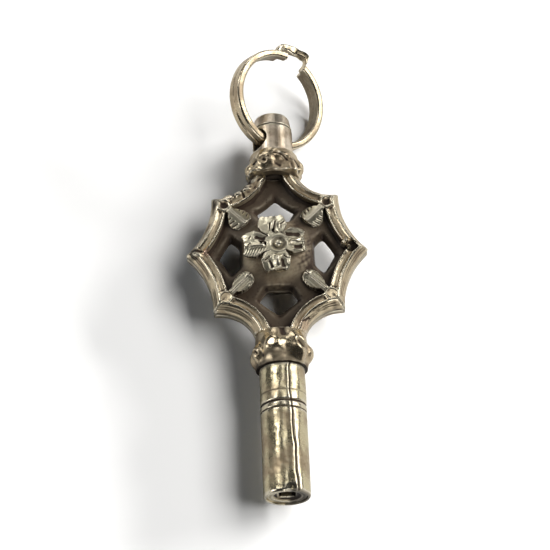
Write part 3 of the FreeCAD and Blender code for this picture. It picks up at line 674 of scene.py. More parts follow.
@dataclass
class HeadCarver(Carver):
    """The chasing, the dirt and the painted shade of the openwork head."""

    melt_rounds: int = 26
    plan: BarPlan = BarPlan()
    lines: tuple[float, ...] = (0.20, 0.33)
    line_half: float = 0.045
    mitre_half: float = 0.06
    mark_depth: float = 0.055
    mark_dirt: float = 0.8
    wall_shade_and_dirt: float = 0.95
    hub_shade_and_dirt: float = 0.67
    foot_shade_and_dirt: float = 0.55
    patch_dirt: Unevenness = Unevenness(0.5, 0.5, 32)
    patch_share: float = 0.75
    blush_share: float = 0.8
    melting: Span = (0.05, 0.35)
    eye_place: float = 7.0
    eye_edge: float = 0.62
    eye_face: float = 0.5
    eye_depth: float = 0.05
    top_window_drop: float = 0.38
    drop_below: Span = (3.9, 5.9)
    drop_above: Span = (7.6, 6.3)
    drop_aside: Span = (2.4, 1.5)
    drop_inward: Span = (0.1, 0.9)
    wander: Unevenness = Unevenness(0.02, 2.4, 11)
    gaps: Unevenness = Unevenness(1.0, 2.6, 12)
    gap_edge: Span = (-0.7, 0.1)
    line_heights: Span = (0.70, 0.85)
    mitre_radii: Span = (7.0, 7.3)
    neck_clear: tuple[float, float] = (3.2, 6.5)
    front_heights: Span = (0.6, 0.9)
    pocks: Unevenness = Unevenness(0.06, 0.9, 21)
    web_edge: Span = (-0.06, 0.02)
    wall_heights: Span = (1.40, 1.0)
    hub_heights: Span = (1.0, 1.4)
    foot_heights: Span = (0.75, 0.3)
    foot_across: Span = (0.45, 0.15)
    hub_unevenness: tuple[Unevenness, ...] = (Unevenness(0.12, 1.3, 31), Unevenness(0.08, 0.4, 33))
    hub_darker_towards: tuple[float, float] = (0.05, 0.03)
    pit: Spot = Spot(7.05, 0.1, 0.75, 0.45)
    pit_rim: Spot = Spot(6.5, 0.45, 0.42, 0.35)
    worn: tuple[Spot, ...] = (Spot(-2.7, 7.1, 1.6), Spot(-7.9, -0.1, 1.0))
    dirty: tuple[Spot, ...] = (
        Spot(-7.8, -0.1, 0.8, 0.7), Spot(-2.9, 7.0, 1.5, 0.45), Spot(-5.6, 5.4, 1.0, 0.8),
        Spot(5.4, -6.0, 0.7, 0.4), Spot(-1.9, 8.0, 1.3, 0.6), Spot(2.7, -1.3, 1.8, 0.16),
        Spot(-0.2, -3.2, 1.3, -0.3))
    coppered: tuple[Spot, ...] = (
        Spot(-6.6, -0.1, 0.7, 0.7), Spot(5.5, 0.7, 1.2, 0.35), Spot(2.2, -8.0, 0.9, 0.3))
    strokes: tuple[Stroke, ...] = (
        Stroke((2.15, -7.75), (2.75, -7.3), 0.09, 0.14, 0.9),
        Stroke((2.95, -7.75), (3.5, -7.35), 0.08, 0.12, 0.9),
        Stroke((-8.2, 0.25), (-7.2, 0.05), 0.10, 0.10, 0.9),
        Stroke((-8.1, -0.25), (-7.1, -0.35), 0.13, -0.08),
        Stroke((-2.1, 7.0), (-1.0, 7.8), 0.14, -0.10),
        Stroke((-1.6, 6.1), (-1.5, 6.8), 0.12, -0.10),
        Stroke((0.85, 7.8), (1.15, 6.9), 0.10, -0.06),
        Stroke((-3.3, 6.6), (-2.4, 6.9), 0.11, 0.14, 0.8),
        Stroke((-4.7, 5.95), (-4.3, 6.1), 0.24, -0.22),
        Stroke((-3.8, 6.05), (-3.4, 6.2), 0.20, -0.20, 0.3),
        Stroke((-3.0, 6.65), (-2.75, 6.95), 0.22, -0.20),
        Stroke((-4.2, 6.3), (-3.9, 5.8), 0.10, 0.14, 1.0),
        Stroke((-3.2, 6.5), (-3.0, 5.9), 0.12, 0.14, 1.0),
        Stroke((-2.6, 7.5), (-2.3, 7.9), 0.14, 0.14, 1.0))

    def melt(self, points: Points) -> Points:
        """Round the web and its windows."""
        return smoothstep(self.plan.across(points) - self.plan.width, *self.melting)

    def shape(self, points: Points) -> Points:
        """Bring the top window's outer edge down, and fill the lower eyes."""
        shaped = points.copy()
        share = smoothstep(points[:, 1], *self.drop_below) * smoothstep(points[:, 1], *self.drop_above)
        share *= smoothstep(np.abs(points[:, 0]), *self.drop_aside)
        share *= smoothstep(self.plan.across(points) - self.plan.width, *self.drop_inward)
        shaped[:, 1] -= self.top_window_drop * share
        place = self.eye_place * math.sqrt(0.5)
        for side in (-1.0, 1.0):
            inside = np.hypot(points[:, 0] - side * place, points[:, 1] + place) < self.eye_edge
            for face in (-1.0, 1.0):
                eye = inside & (face * points[:, 2] > self.eye_face)
                if eye.any():
                    top = float((face * points[eye, 2]).max()) - self.eye_depth
                    shaped[eye, 2] = face * np.maximum(face * points[eye, 2], top)
        return shaped

    def marks(self, points: Points) -> Points:
        """Give the chased lines along the bars and the mitres between them, 1 at their deepest."""
        across = self.plan.across(points) + uneven(points, (self.wander,))
        broken = smoothstep(uneven(points, (self.gaps,)), *self.gap_edge)
        upper = smoothstep(np.abs(points[:, 2]), *self.line_heights)
        lines = sum(near(across, line, self.line_half) for line in self.lines) * upper * broken
        necks = (np.abs(points[:, 0]) < self.neck_clear[0]) & (np.abs(points[:, 1]) > self.neck_clear[1])
        mitres = near(self.plan.beside_cusp(points), 0.0, self.mitre_half)
        mitres *= smoothstep(from_middle(points), *self.mitre_radii) * ~necks
        return np.clip(lines + mitres, 0.0, 1.0)

    def carve(self, points: Points, normals: Points) -> Points:
        """Cut the marks, the pit by the right cusp and the worn places."""
        depth = wear(points) - self.mark_depth * self.marks(points)
        front = smoothstep(points[:, 2], *self.front_heights)
        pit = self.pit.share(points) - self.pit_rim.share(points)
        worn = patches(points, self.worn) * uneven(points, (self.pocks,))
        depth -= front * (pit + worn + depth_of(points, self.strokes))
        return normals * depth[:, None]

    def grime_and_shade(self, points: Points, normals: Points) -> Points:
        """Give the dirt in the marks, and painted shade with dirt on the hub, deep between the bars and at
        the bars' outer foot.
        """
        height = np.abs(points[:, 2])
        across = self.plan.across(points)
        inside = smoothstep(across - self.plan.width, *self.web_edge)
        wall = inside * smoothstep(height, *self.wall_heights)
        hub = inside * smoothstep(height, *self.hub_heights)
        foot = smoothstep(height, *self.foot_heights) * smoothstep(across, *self.foot_across)
        # The hub's painted shade varies unevenly and darkens towards the right and the top
        rubbed = uneven(points, self.hub_unevenness) + points[:, :2] @ np.array(self.hub_darker_towards)
        patchy = self.patch_share + uneven(points, (self.patch_dirt,))
        front = patches(points, self.dirty) * patchy + dirt_of(points, self.strokes)
        # Painted shade with dirt low in the web, on the hub and at the bars' foot; dirt in the marks and
        # the stained patches
        return (self.wall_shade_and_dirt * wall + hub * (self.hub_shade_and_dirt + rubbed) + self.foot_shade_and_dirt * foot
                + self.mark_dirt * self.marks(points) + (points[:, 2] > 0) * front)

    def blush(self, points: Points) -> Points:
        """Give the copper patches."""
        return (points[:, 2] > 0) * patches(points, self.coppered) * self.blush_share


@dataclass
class Head:
    """The openwork head: two moulded halves."""

    voxel: float = 0.08

    def build(self, material: bpy.types.Material) -> None:
        """Make both halves."""
        for side in ("front", "back"):
            piece = Piece("openwork_" + side, ("head_frame_" + side,), Body.KEY, Slot.HEAD)
            CarvedPiece(piece, self.voxel, softness=3, hollow=0.22, carver=HeadCarver()).build(material)


@dataclass
class FlowerCarver(Carver):
    """The uneven petals of the flower, as the old hand cut them."""

    petals_shift: tuple[float, float] = (-0.26, 0.27)
    cup_shift: tuple[float, float] = (0.16, 0.05)
    petal_radii: Span = (0.9, 1.4)
    blade_start: Span = (1.1, 1.4)
    blade_end: Span = (2.75, 2.5)
    groove_fill: float = 0.16
    groove_half: float = 0.22
    notch_fill: float = 0.30
    notch_half: float = 0.34
    notch_along: Span = (1.9, 2.5)
    squaring: float = 0.22
    squared_aside: Span = (0.5, 0.95)
    squared_along: Span = (1.7, 2.3)
    broadening: float = 0.30
    broadest: float = 1.45
    broad_half: float = 0.6
    cutting: float = 1.35
    turn: float = 4.0
    petal_step: float = 90.0
    hatch_step: float = 0.24
    hatch_depth: float = 0.04
    hatch_way: tuple[float, float] = (0.9, -0.45)
    hatch_left: Span = (-0.8, -1.1)
    hatch_top: Span = (-0.25, -0.45)
    hatch_foot: float = -1.5
    top_slopes: Span = (0.5, 0.8)
    side_slopes: Span = (0.5, 0.15)
    cup_edge: Span = (0.85, 0.65)
    cup_middle: Span = (0.30, 0.42)
    cup_heights: Span = (2.6, 2.3)
    cup_shade_and_dirt: float = 0.75
    side_shade: float = 0.75
    hatch_dirt: float = 0.45
    strokes: tuple[Stroke, ...] = (
        Stroke((0.75, 1.05), (1.95, 1.05), 0.34, 0.18, 0.95),
        Stroke((1.2, 0.05), (2.3, 0.55), 0.16, -0.11),
        Stroke((1.8, -0.35), (2.28, -0.3), 0.20, 0.14, 0.85),
        Stroke((2.55, 1.0), (2.45, -0.55), 0.11, -0.08),
        Stroke((2.4, -0.65), (1.6, -0.6), 0.09, -0.07),
        Stroke((-0.1, 2.5), (-0.28, 1.4), 0.13, 0.14, 0.75),
        Stroke((-0.62, 2.3), (-0.66, 1.45), 0.09, 0.07, 0.35),
        Stroke((0.3, 2.3), (0.28, 1.6), 0.09, -0.10),
        Stroke((0.42, 2.15), (0.75, 2.45), 0.07, 0.10, 0.85),
        Stroke((-1.9, 0.78), (-1.15, 0.5), 0.27, 0.15, 0.6),
        Stroke((-0.95, 0.98), (-0.92, 0.85), 0.13, 0.10, 0.9),
        Stroke((-2.72, 0.55), (-2.5, 0.95), 0.06, 0.09, 0.8),
        Stroke((-2.8, -0.1), (-2.55, 0.2), 0.06, 0.09, 0.8),
        Stroke((-0.1, -1.05), (-0.08, -2.0), 0.27, -0.11),
        Stroke((-0.75, -1.8), (-0.5, -2.3), 0.22, 0.07, 0.35),
        Stroke((0.45, -1.8), (0.6, -2.3), 0.24, 0.10, 0.45),
        Stroke((0.9, -1.35), (1.05, -2.0), 0.09, -0.08),
        Stroke((0.85, -2.45), (-0.1, -2.5), 0.09, -0.08),
        Stroke((-1.2, -1.7), (-0.75, -1.35), 0.07, 0.10, 0.85),
        Stroke((0.6, -1.2), (0.95, -1.55), 0.07, 0.10, 0.8))

    def petal_frame(self, points: Points) -> tuple[Points, Points, Points]:
        """Give the turn of each point's petal in degrees, and the point's place along and beside it."""
        radius = from_middle(points)
        angle = turn_from_right(points) - self.turn
        petal = self.petal_step * np.round(angle / self.petal_step)
        off = np.radians(angle - petal)
        return petal + self.turn, radius * np.cos(off), radius * np.sin(off)

    def shape(self, points: Points) -> Points:
        """Broaden the petals, close the notches in their tips and set them off the cup as they sit."""
        petal, along, aside = self.petal_frame(points)
        along += self.notch_fill * near(aside, 0.0, self.notch_half) * smoothstep(along, *self.notch_along)
        corners = smoothstep(np.abs(aside), *self.squared_aside)
        along += self.squaring * corners * smoothstep(along, *self.squared_along)
        aside *= 1.0 + self.broadening * near(along, self.broadest, self.broad_half)
        way = np.radians(petal)
        outer = smoothstep(from_middle(points), *self.petal_radii)[:, None]
        inner = 1.0 - outer
        shaped = points.copy()
        shaped[:, 0] = along * np.cos(way) - aside * np.sin(way)
        shaped[:, 1] = along * np.sin(way) + aside * np.cos(way)
        shaped[:, :2] = outer * shaped[:, :2] + inner * points[:, :2]
        shaped[:, :2] += outer * np.array(self.petals_shift) + inner * np.array(self.cup_shift)
        return shaped

    def hatching(self, points: Points) -> Points:
        """Give the fine cuts on the lower edge of the left petal, 1 at their deepest."""
        fan = smoothstep(points[:, 0], *self.hatch_left) * smoothstep(points[:, 1], *self.hatch_top)
        fan *= points[:, 1] > self.hatch_foot
        slant = points[:, :2] @ np.array(self.hatch_way)
        return near(np.mod(slant / self.hatch_step, 1.0), 0.5, 0.2) * fan

    def carve(self, points: Points, normals: Points) -> Points:
        """Fill the cast grooves and cut the petals by hand."""
        radius = from_middle(points)
        blade = smoothstep(radius, *self.blade_start) * smoothstep(radius, *self.blade_end)
        fill = self.groove_fill * near(self.petal_frame(points)[2], 0.0, self.groove_half) * blade
        cut = self.cutting * blade * depth_of(points, self.strokes)
        raised = fill - self.hatch_depth * self.hatching(points) - cut
        return normals * (wear(points) + facing(normals, *self.top_slopes) * raised)[:, None]

    def grime_and_shade(self, points: Points, normals: Points) -> Points:
        """Give the dirt in the strokes and hatching, painted shade with dirt in the cup, and painted shade
        under the petals.
        """
        away = np.hypot(points[:, 0] - self.cup_shift[0], points[:, 1] - self.cup_shift[1])
        height = np.abs(points[:, 2])
        cup = smoothstep(away, *self.cup_edge) * smoothstep(away, *self.cup_middle)
        cup *= smoothstep(height, *self.cup_heights)
        sides = facing(normals, *self.side_slopes)
        return (self.cup_shade_and_dirt * cup + dirt_of(points, self.strokes)
                + self.hatch_dirt * self.hatching(points) + self.side_shade * sides)


@dataclass
class BallCarver(Carver):
    """The rivet's balls, set in the middle of the flowers' cups."""

    shift: tuple[float, float] = (0.14, -0.02)
    heights: Span = (1.7, 2.1)

    def shape(self, points: Points) -> Points:
        """Set the balls where the cups are."""
        shaped = points.copy()
        shaped[:, :2] += smoothstep(np.abs(points[:, 2]), *self.heights)[:, None] * np.array(self.shift)
        return shaped


@dataclass
class LeafCarver(Carver):
    """The chasing of one leaf, which lies on a diagonal of the head."""

    upper: bool
    tip: float
    half_width: float
    tooth: float = 0.46
    teeth_aside: Span = (0.45, 0.65)
    bead: float = 0.3
    beads_end: float = 1.0
    rim_share: float = 0.7
    field_shares: Span = (0.72, 0.45)
    field_start: Span = (0.25, 0.5)
    top_slopes: Span = (0.4, 0.7)
    side_slopes: Span = (0.5, 0.2)
    cut_depth: float = 0.12
    cut_dirt: float = 0.9
    side_shade: float = 0.8
    vein_shine: float = 0.3
    crown: float = 0.15
    melt_rounds: int = 18

    def melt(self, points: Points) -> Points:
        """Round the whole leaf a little, and its vein more."""
        return 0.3 + 0.7 * near(self.local(points)[1], 0.0, 0.25)

    def local(self, points: Points) -> tuple[Points, Points]:
        """Give each point's place along the leaf from its tip and across it."""
        aside, up = np.abs(points[:, 0]), np.abs(points[:, 1])
        return (aside + up) * math.sqrt(0.5) - self.tip, (up - aside) * math.sqrt(0.5)

    def cuts(self, points: Points) -> Points:
        """Give the cuts between the teeth and down the vein, 1 at their deepest."""
        along, across = self.local(points)
        aside = np.abs(across)
        if self.upper:
            teeth = near(np.mod((along - 0.5 * aside) / self.tooth, 1.0), 0.5, 0.17)
            return teeth * smoothstep(aside, *self.teeth_aside) - 0.8 * near(across, 0.0, 0.2)
        inside = smoothstep(aside / self.half_width, *self.field_shares)
        inside *= smoothstep(along, *self.field_start)
        beads = near(np.mod(along / self.bead, 1.0), 0.5, 0.2)
        beads *= (aside > self.half_width * self.rim_share) * (along < self.beads_end)
        return 0.55 * inside + 0.8 * beads - near(across, 0.0, 0.15)

    def carve(self, points: Points, normals: Points) -> Points:
        """Cut the leaf."""
        crown = self.crown * near(self.local(points)[1], 0.0, 0.55 * self.half_width)
        raised = crown - self.cut_depth * self.cuts(points)
        return normals * (wear(points) + facing(normals, *self.top_slopes) * raised)[:, None]

    def grime_and_shade(self, points: Points, normals: Points) -> Points:
        """Give the dirt in the cuts and painted shade down the sides."""
        return (self.cut_dirt * self.cuts(points) + self.side_shade * facing(normals, *self.side_slopes)
                - self.vein_shine * near(self.local(points)[1], 0.0, 0.15))


@dataclass
class Ornaments:
    """The flowers, the rivet between them and the eight leaves."""

    voxel: float = 0.036
    hollow: float = 0.07

    def make(self, name: str, node: str, softness: int, carver: Carver,
             material: bpy.types.Material) -> None:
        """Make one ornament."""
        piece = Piece(name, (node,), Body.KEY, Slot.ORNAMENT)
        CarvedPiece(piece, self.voxel, softness, self.hollow, carver).build(material)

    def build(self, material: bpy.types.Material) -> None:
        """Make every applied ornament."""
        for side in ("front", "back"):
            self.make("petals_" + side, "flower_" + side, 2, FlowerCarver(), material)
            for level, tip, half_width in (("upper", 4.1, 1.15), ("lower", 3.7, 0.85)):
                for hand in ("left", "right"):
                    node = f"leaf_{side}_{level}_{hand}"
                    carver = LeafCarver(level == "upper", tip, half_width)
                    self.make("chased_" + node, node, 2, carver, material)
        self.make("rivet_balls", "centre_rivet", 3, BallCarver(), material)


@dataclass(frozen=True)
class Lobe:
    """A lump on a knop, with its turn from the top to the right in degrees and its place along the key."""

    turn: float
    place: float
    proud: float
    half_width: float = 0.85
    half_length: float = 0.85


@dataclass
class KnopCarver(Carver):
    """The lumps, the carving, the dirt and the painted shade of a knop."""

    ends: tuple[float, float]
    lobes: tuple[Lobe, ...]
    strokes: tuple[Stroke, ...]
    under_shade: float
    end_shade_and_dirt: float = 0.2
    valley_shade_and_dirt: float = 0.2
    base: float = 2.38
    bore: float = 2.15
    bore_clear: float = 0.12
    bore_half: float = 0.1
    flat: float = 2.82
    rounded_end: Span = (0.0, 0.15)
    front_heights: Span = (0.0, 0.4)
    end_slopes: Span = (0.80, 0.95)
    valley_heights: Span = (0.22, 0.02)
    under_edge: Span = (0.55, 0.2)
    casting: Unevenness = Unevenness(0.03, 1.2, 41)
    blend: float = 4.0
    steepness: float = 1.35
    most: float = 0.68

    def surface(self, points: Points) -> Points:
        """Give the radius of the sculpted knop at each point's turn and place."""
        turn = turn_from_top(points)
        proud = np.zeros(len(points))
        for lobe in self.lobes:
            aside = np.radians(np.mod(turn - lobe.turn + 180.0, 360.0) - 180.0) * self.base
            away = (aside / lobe.half_width) ** 2 + ((points[:, 1] - lobe.place) / lobe.half_length) ** 2
            proud += (lobe.proud * np.exp(-away ** self.steepness)) ** self.blend
        return self.base + np.minimum(proud ** (1.0 / self.blend), self.most)

    def shape(self, points: Points) -> Points:
        """Move the outer side onto the sculpted surface, worn flat where the key lies on the table."""
        radius = from_axis(points)
        end = np.minimum(points[:, 1] - self.ends[0], self.ends[1] - points[:, 1])
        wanted = self.surface(points)
        raised = radius + smoothstep(end, *self.rounded_end) * (wanted - radius)
        share = smoothstep(radius, self.bore, self.bore + self.bore_clear)
        moved = np.where(wanted < radius, wanted, raised)
        factor = 1.0 + share * (moved / np.maximum(radius, 1e-6) - 1.0)
        shaped = points * np.stack([factor, np.ones(len(points)), factor], axis=1)
        shaped[:, 2] = np.maximum(shaped[:, 2], -self.flat)
        return shaped

    def carve(self, points: Points, normals: Points) -> Points:
        """Roughen the lobes and cut the strokes."""
        depth = uneven(points, (*WEAR, self.casting))
        outer = smoothstep(from_axis(points), self.bore - self.bore_half, self.bore + self.bore_half)
        front = smoothstep(points[:, 2], *self.front_heights)
        return normals * (depth * outer - front * outer * depth_of(points, self.strokes))[:, None]

    def grime_and_shade(self, points: Points, normals: Points) -> Points:
        """Give painted shade with dirt between the lobes and at both ends, painted shadow in the valleys
        next to the first end, and dirt in the strokes.
        """
        ends = smoothstep(np.abs(normals[:, 1]), *self.end_slopes)
        valley = smoothstep(from_axis(points) - self.base, *self.valley_heights)
        under = smoothstep(points[:, 1] - self.ends[0], *self.under_edge)
        # Painted shade with dirt at the ends and in the valleys, painted shadow near the first end, dirt in
        # the strokes
        return (self.end_shade_and_dirt * ends + self.valley_shade_and_dirt * valley + self.under_shade * valley * under
                + (points[:, 2] > 0) * dirt_of(points, self.strokes))


UPPER_ENDS = (8.2, 10.7)
UPPER_LOBES = (
    Lobe(-70.0, 9.0, 0.6, 0.65, 0.75),
    Lobe(-24.0, 9.5, 0.6, 1.0, 0.95),
    Lobe(22.0, 9.85, 0.5, 0.9, 0.55),
    Lobe(46.0, 9.15, 0.62, 0.7, 0.9),
    Lobe(80.0, 9.3, 0.62, 0.75, 0.9),
    Lobe(115.0, 9.4, 0.6),
    Lobe(160.0, 9.3, 0.6),
    Lobe(-155.0, 9.4, 0.6),
    Lobe(-115.0, 9.3, 0.55),
    Lobe(-50.0, 8.4, 0.5, 0.65, 0.55),
    Lobe(47.0, 8.4, 0.56, 0.75, 0.6))
UPPER_STROKES = (
    Stroke((-1.05, 9.25), (-0.95, 9.2), 0.25, 0.36, 1.0),
    Stroke((-0.5, 9.6), (-0.45, 9.55), 0.13, 0.2, 0.9),
    Stroke((2.1, 9.75), (2.45, 9.3), 0.26, 0.26, 1.0),
    Stroke((-1.95, 9.5), (-1.8, 9.3), 0.17, 0.2, 0.9),
    Stroke((0.1, 10.1), (1.35, 9.3), 0.10, 0.14, 0.8),
    Stroke((0.3, 8.9), (0.6, 8.75), 0.2, 0.16, 0.9),
    Stroke((1.75, 8.9), (1.9, 8.5), 0.22, 0.12, 0.8))

LOWER_ENDS = (-12.05, -8.55)
LOWER_LOBES = (
    Lobe(-60.0, -10.75, 0.62, 0.65, 0.85),
    Lobe(-17.0, -10.4, 0.66, 1.05, 1.2),
    Lobe(40.0, -10.45, 0.68, 1.1, 1.35),
    Lobe(84.0, -10.6, 0.6),
    Lobe(128.0, -10.6, 0.64),
    Lobe(172.0, -10.6, 0.66),
    Lobe(-145.0, -10.6, 0.64),
    Lobe(-103.0, -10.7, 0.6))
LOWER_STROKES = (
    Stroke((1.75, -10.05), (2.2, -10.5), 0.25, 0.36, 1.0),
    Stroke((-2.5, -10.7), (-2.3, -10.95), 0.13, 0.16, 0.9),
    Stroke((0.1, -8.6), (0.2, -9.3), 0.40, 0.22, 1.0),
    Stroke((-1.6, -11.25), (0.2, -11.35), 0.28, 0.06, 0.7))


@dataclass
class Knops:
    """The two sculpted knops."""

    voxel: float = 0.045

    def build(self, material: bpy.types.Material) -> None:
        """Make both knops."""
        carvers = {"upper": KnopCarver(UPPER_ENDS, UPPER_LOBES, UPPER_STROKES, under_shade=0.25),
                   "lower": KnopCarver(LOWER_ENDS, LOWER_LOBES, LOWER_STROKES, under_shade=0.6)}
        for level, carver in carvers.items():
            piece = Piece(f"carved_{level}_knop", (level + "_knop",), Body.KEY, Slot.KNOP)
            CarvedPiece(piece, self.voxel, softness=2, hollow=0.20, carver=carver).build(material)


@dataclass
class SleeveCarver(Carver):
    """The dents, the seam and the rings of the barrel's sleeve."""

    top: float = -12.05
    radius: float = 2.15
    outer_radii: Span = (1.95, 2.1)
    inner_radii: Span = (2.0, 1.9)
    seam: float = 22.0
    seam_depth: float = 0.06
    seam_half: float = 1.9
    seam_dirt_half: float = 2.4
    ridge: float = 0.045
    ridge_rise: Span = (1.5, 4.5)
    ridge_fall: Span = (34.0, 8.0)
    ridge_start: Span = (4.4, 5.2)
    bend: float = 0.32
    bend_start: Span = (11.5, 12.3)
    bend_turn: float = 6.0
    bend_half: float = 9.0
    dent: Unevenness = Unevenness(0.018, 1.5, 51)
    dimple: Unevenness = Unevenness(0.008, 0.7, 52)
    dent_shape: tuple[float, float, float] = (1.0, 0.4, 1.0)
    sunk: float = 0.03
    right_turns: Span = (-6.0, 12.0)
    mouth_slopes: Span = (0.6, 0.9)
    mouth_start: float = 11.5
    collar_edge: Span = (0.5, 0.1)
    lip_edge: Span = (11.9, 12.2)
    lean_start: Span = (-0.2, 0.6)
    lean: float = -7.0
    lean_per_mm: float = 1.05
    # The swing of each wobble in degrees, and its rate along the barrel
    wobbles: tuple[tuple[float, float], ...] = ((1.2, 1.7), (0.4, 4.1))
    # The place of each ring below the sleeve's top, and half its width
    rings: tuple[tuple[float, float], ...] = ((2.66, 0.07), (3.7, 0.14), (4.33, 0.08))

    def carve(self, points: Points, normals: Points) -> Points:
        """Wind the seam as the old hand-rolled one runs, and dent the sleeve."""
        down = self.top - points[:, 1]
        wobble = sum(swing * np.sin(down * rate) for swing, rate in self.wobbles)
        twist = np.radians(self.lean + self.lean_per_mm * down + wobble)
        twist *= smoothstep(down, *self.lean_start)
        turned = points.copy()
        turned[:, 0] = points[:, 0] * np.cos(twist) + points[:, 2] * np.sin(twist)
        turned[:, 2] = points[:, 2] * np.cos(twist) - points[:, 0] * np.sin(twist)
        outer = smoothstep(from_axis(points), *self.outer_radii)
        angle = turn_from_top(points)
        beyond = angle - self.seam
        ridge = self.ridge * smoothstep(beyond, *self.ridge_rise) * smoothstep(beyond, *self.ridge_fall)
        ridge *= smoothstep(down, *self.ridge_start)
        groove = self.seam_depth * near(beyond, 0.0, self.seam_half)
        long_dents = uneven(points * np.array(self.dent_shape), (self.dent,))
        dents = long_dents + uneven(points, (self.dimple,)) - self.sunk
        bent = self.bend * smoothstep(down, *self.bend_start) * near(angle, self.bend_turn, self.bend_half)
        inward = points * np.array([-1.0, 0.0, -1.0]) / self.radius
        raised = normals * (outer * (dents + ridge - groove))[:, None]
        return turned - points + raised + inward * bent[:, None]

    def grime_and_shade(self, points: Points, normals: Points) -> Points:
        """Give the dirt in the rings and at the seam, and painted shade with dirt inside, at the collar, at
        the lip and on the end face.
        """
        down = self.top - points[:, 1]
        rings = sum(near(down, place, half) for place, half in self.rings)
        angle = turn_from_top(points)
        seam = near(angle, self.seam, self.seam_dirt_half)
        right = smoothstep(angle, *self.right_turns)
        inner = smoothstep(from_axis(points), *self.inner_radii) * right
        mouth = smoothstep(-normals[:, 1], *self.mouth_slopes) * (down > self.mouth_start)
        collar = smoothstep(down, *self.collar_edge)
        lip = smoothstep(down, *self.lip_edge) * right
        # Rings and seam hold dirt; inside on the right, the collar, the right of the lip and the end face
        # get painted shade with dirt
        return 0.85 * rings + seam + 0.7 * inner + 0.6 * collar + 0.9 * lip + 0.45 * mouth


@dataclass
class PipeCarver(Carver):
    """The pipe in the barrel, its rubbed mouth sunk a little behind the sleeve's bent lip."""

    sunk_from: float = -21.0
    sunk_share: float = 0.98
    shaded_side: Span = (0.0, 0.5)
    # The share of dirt and painted shade all over the pipe
    dirt: float = 0.4

    def shape(self, points: Points) -> Points:
        """Draw the mouth in."""
        shaped = points.copy()
        low = points[:, 1] < self.sunk_from
        shaped[low, 1] = self.sunk_from + (points[low, 1] - self.sunk_from) * self.sunk_share
        return shaped

    def grime_and_shade(self, points: Points, normals: Points) -> Points:
        """Give the dirt and painted shade over the whole pipe, most on the right of the mouth."""
        return self.dirt + (1.0 - self.dirt) * smoothstep(points[:, 0], *self.shaded_side)


@dataclass
class Barrel:
    """The rolled sleeve of the barrel, the pipe in it and the hidden steel pieces."""

    voxel: float = 0.065
    hollow: float = 0.08
    steel_nodes: tuple[str, ...] = ("barrel_tang", "swivel_pin", "swivel_washer")

    def build(self, gilt: bpy.types.Material, steel: bpy.types.Material) -> None:
        """Make the sleeve and the pipe, and give the hidden steel pieces their finish."""
        sleeve = Piece("rolled_sleeve", ("barrel_sleeve",), Body.KEY, Slot.BARREL)
        CarvedPiece(sleeve, self.voxel, 3, self.hollow, SleeveCarver()).build(gilt)
        pipe = Piece("sunk_pipe", ("socket_pipe",), Body.KEY, Slot.STEEL)
        CarvedPiece(pipe, self.voxel, 2, self.hollow, PipeCarver()).build(gilt)
        for node in self.steel_nodes:
            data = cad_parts[node].data
            data.materials.clear()
            data.materials.append(steel)


@dataclass
class PostCarver(Carver):
    """The dirt at the seam of the post's cap, and painted shade with dirt round its foot and inside."""

    seam: float = 13.86
    seam_half: float = 0.09
    seam_depth: float = 0.05
    seam_dirt_half: float = 0.10
    foot: float = 10.76
    foot_heights: Span = (0.4, 0.05)
    inner_radii: Span = (1.85, 1.7)
    wear_share: float = 0.5

    def carve(self, points: Points, normals: Points) -> Points:
        """Wear the metal a little and sink the seam."""
        groove = self.seam_depth * near(points[:, 1], self.seam, self.seam_half)
        return normals * (self.wear_share * wear(points) - groove)[:, None]

    def grime_and_shade(self, points: Points, normals: Points) -> Points:
        """Give the dirt in the seam, and painted shade with dirt round the foot and inside."""
        seam = near(points[:, 1], self.seam, self.seam_dirt_half)
        foot = smoothstep(points[:, 1] - self.foot, *self.foot_heights)
        inner = smoothstep(from_axis(points), *self.inner_radii) * (points[:, 1] < self.seam)
        return 0.9 * seam + 0.5 * foot + 0.8 * inner


@dataclass
class Swivel:
    """The post and its cap."""

    voxel: float = 0.045

    def build(self, material: bpy.types.Material) -> None:
        """Make the post and the cap."""
        for node, name in (("swivel_post", "post_tube"), ("post_cap", "post_lid")):
            piece = Piece(name, (node,), Body.SWIVEL, Slot.POST)
            CarvedPiece(piece, self.voxel, softness=3, hollow=0.08, carver=PostCarver()).build(material)


@dataclass
class RingCarver(Carver):
    """The worn-down joint between the turns of the ring, and the painted shade with dirt on its inner side.
    """

    centre: tuple[float, float, float] = (0.64, 17.08, 0.91)
    face: tuple[float, float, float] = (0.5577, -0.2334, 0.7965)
    filling: float = 0.12
    filled_half: float = 0.12
    filled_from: Span = (13.5, 15.5)
    dirty_below: Span = (15.5, 13.5)
    dirty_half: float = 0.06
    inner_slopes: Span = (0.5, 0.9)
    wear_share: float = 0.4

    def across(self, points: Points) -> Points:
        """Give each point's distance from the plane between the turns."""
        return (points - np.array(self.centre)) @ np.array(self.face)

    def carve(self, points: Points, normals: Points) -> Points:
        """Close the joint where the turns rub on each other."""
        joint = near(self.across(points), 0.0, self.filled_half)
        joint *= smoothstep(points[:, 1], *self.filled_from)
        return normals * (self.wear_share * wear(points) + self.filling * joint)[:, None]

    def grime_and_shade(self, points: Points, normals: Points) -> Points:
        """Give the dirt in the low part of the joint and painted shade with dirt on the ring's inner side.
        """
        face = np.array(self.face)
        across = self.across(points)
        radial = points - np.array(self.centre) - across[:, None] * face
        radial /= np.maximum(np.linalg.norm(radial, axis=1, keepdims=True), 1e-6)
        inward = -np.einsum("ij,ij->i", normals, radial)
        low = smoothstep(points[:, 1], *self.dirty_below)
        return 0.6 * low * near(across, 0.0, self.dirty_half) + 0.5 * smoothstep(inward, *self.inner_slopes)


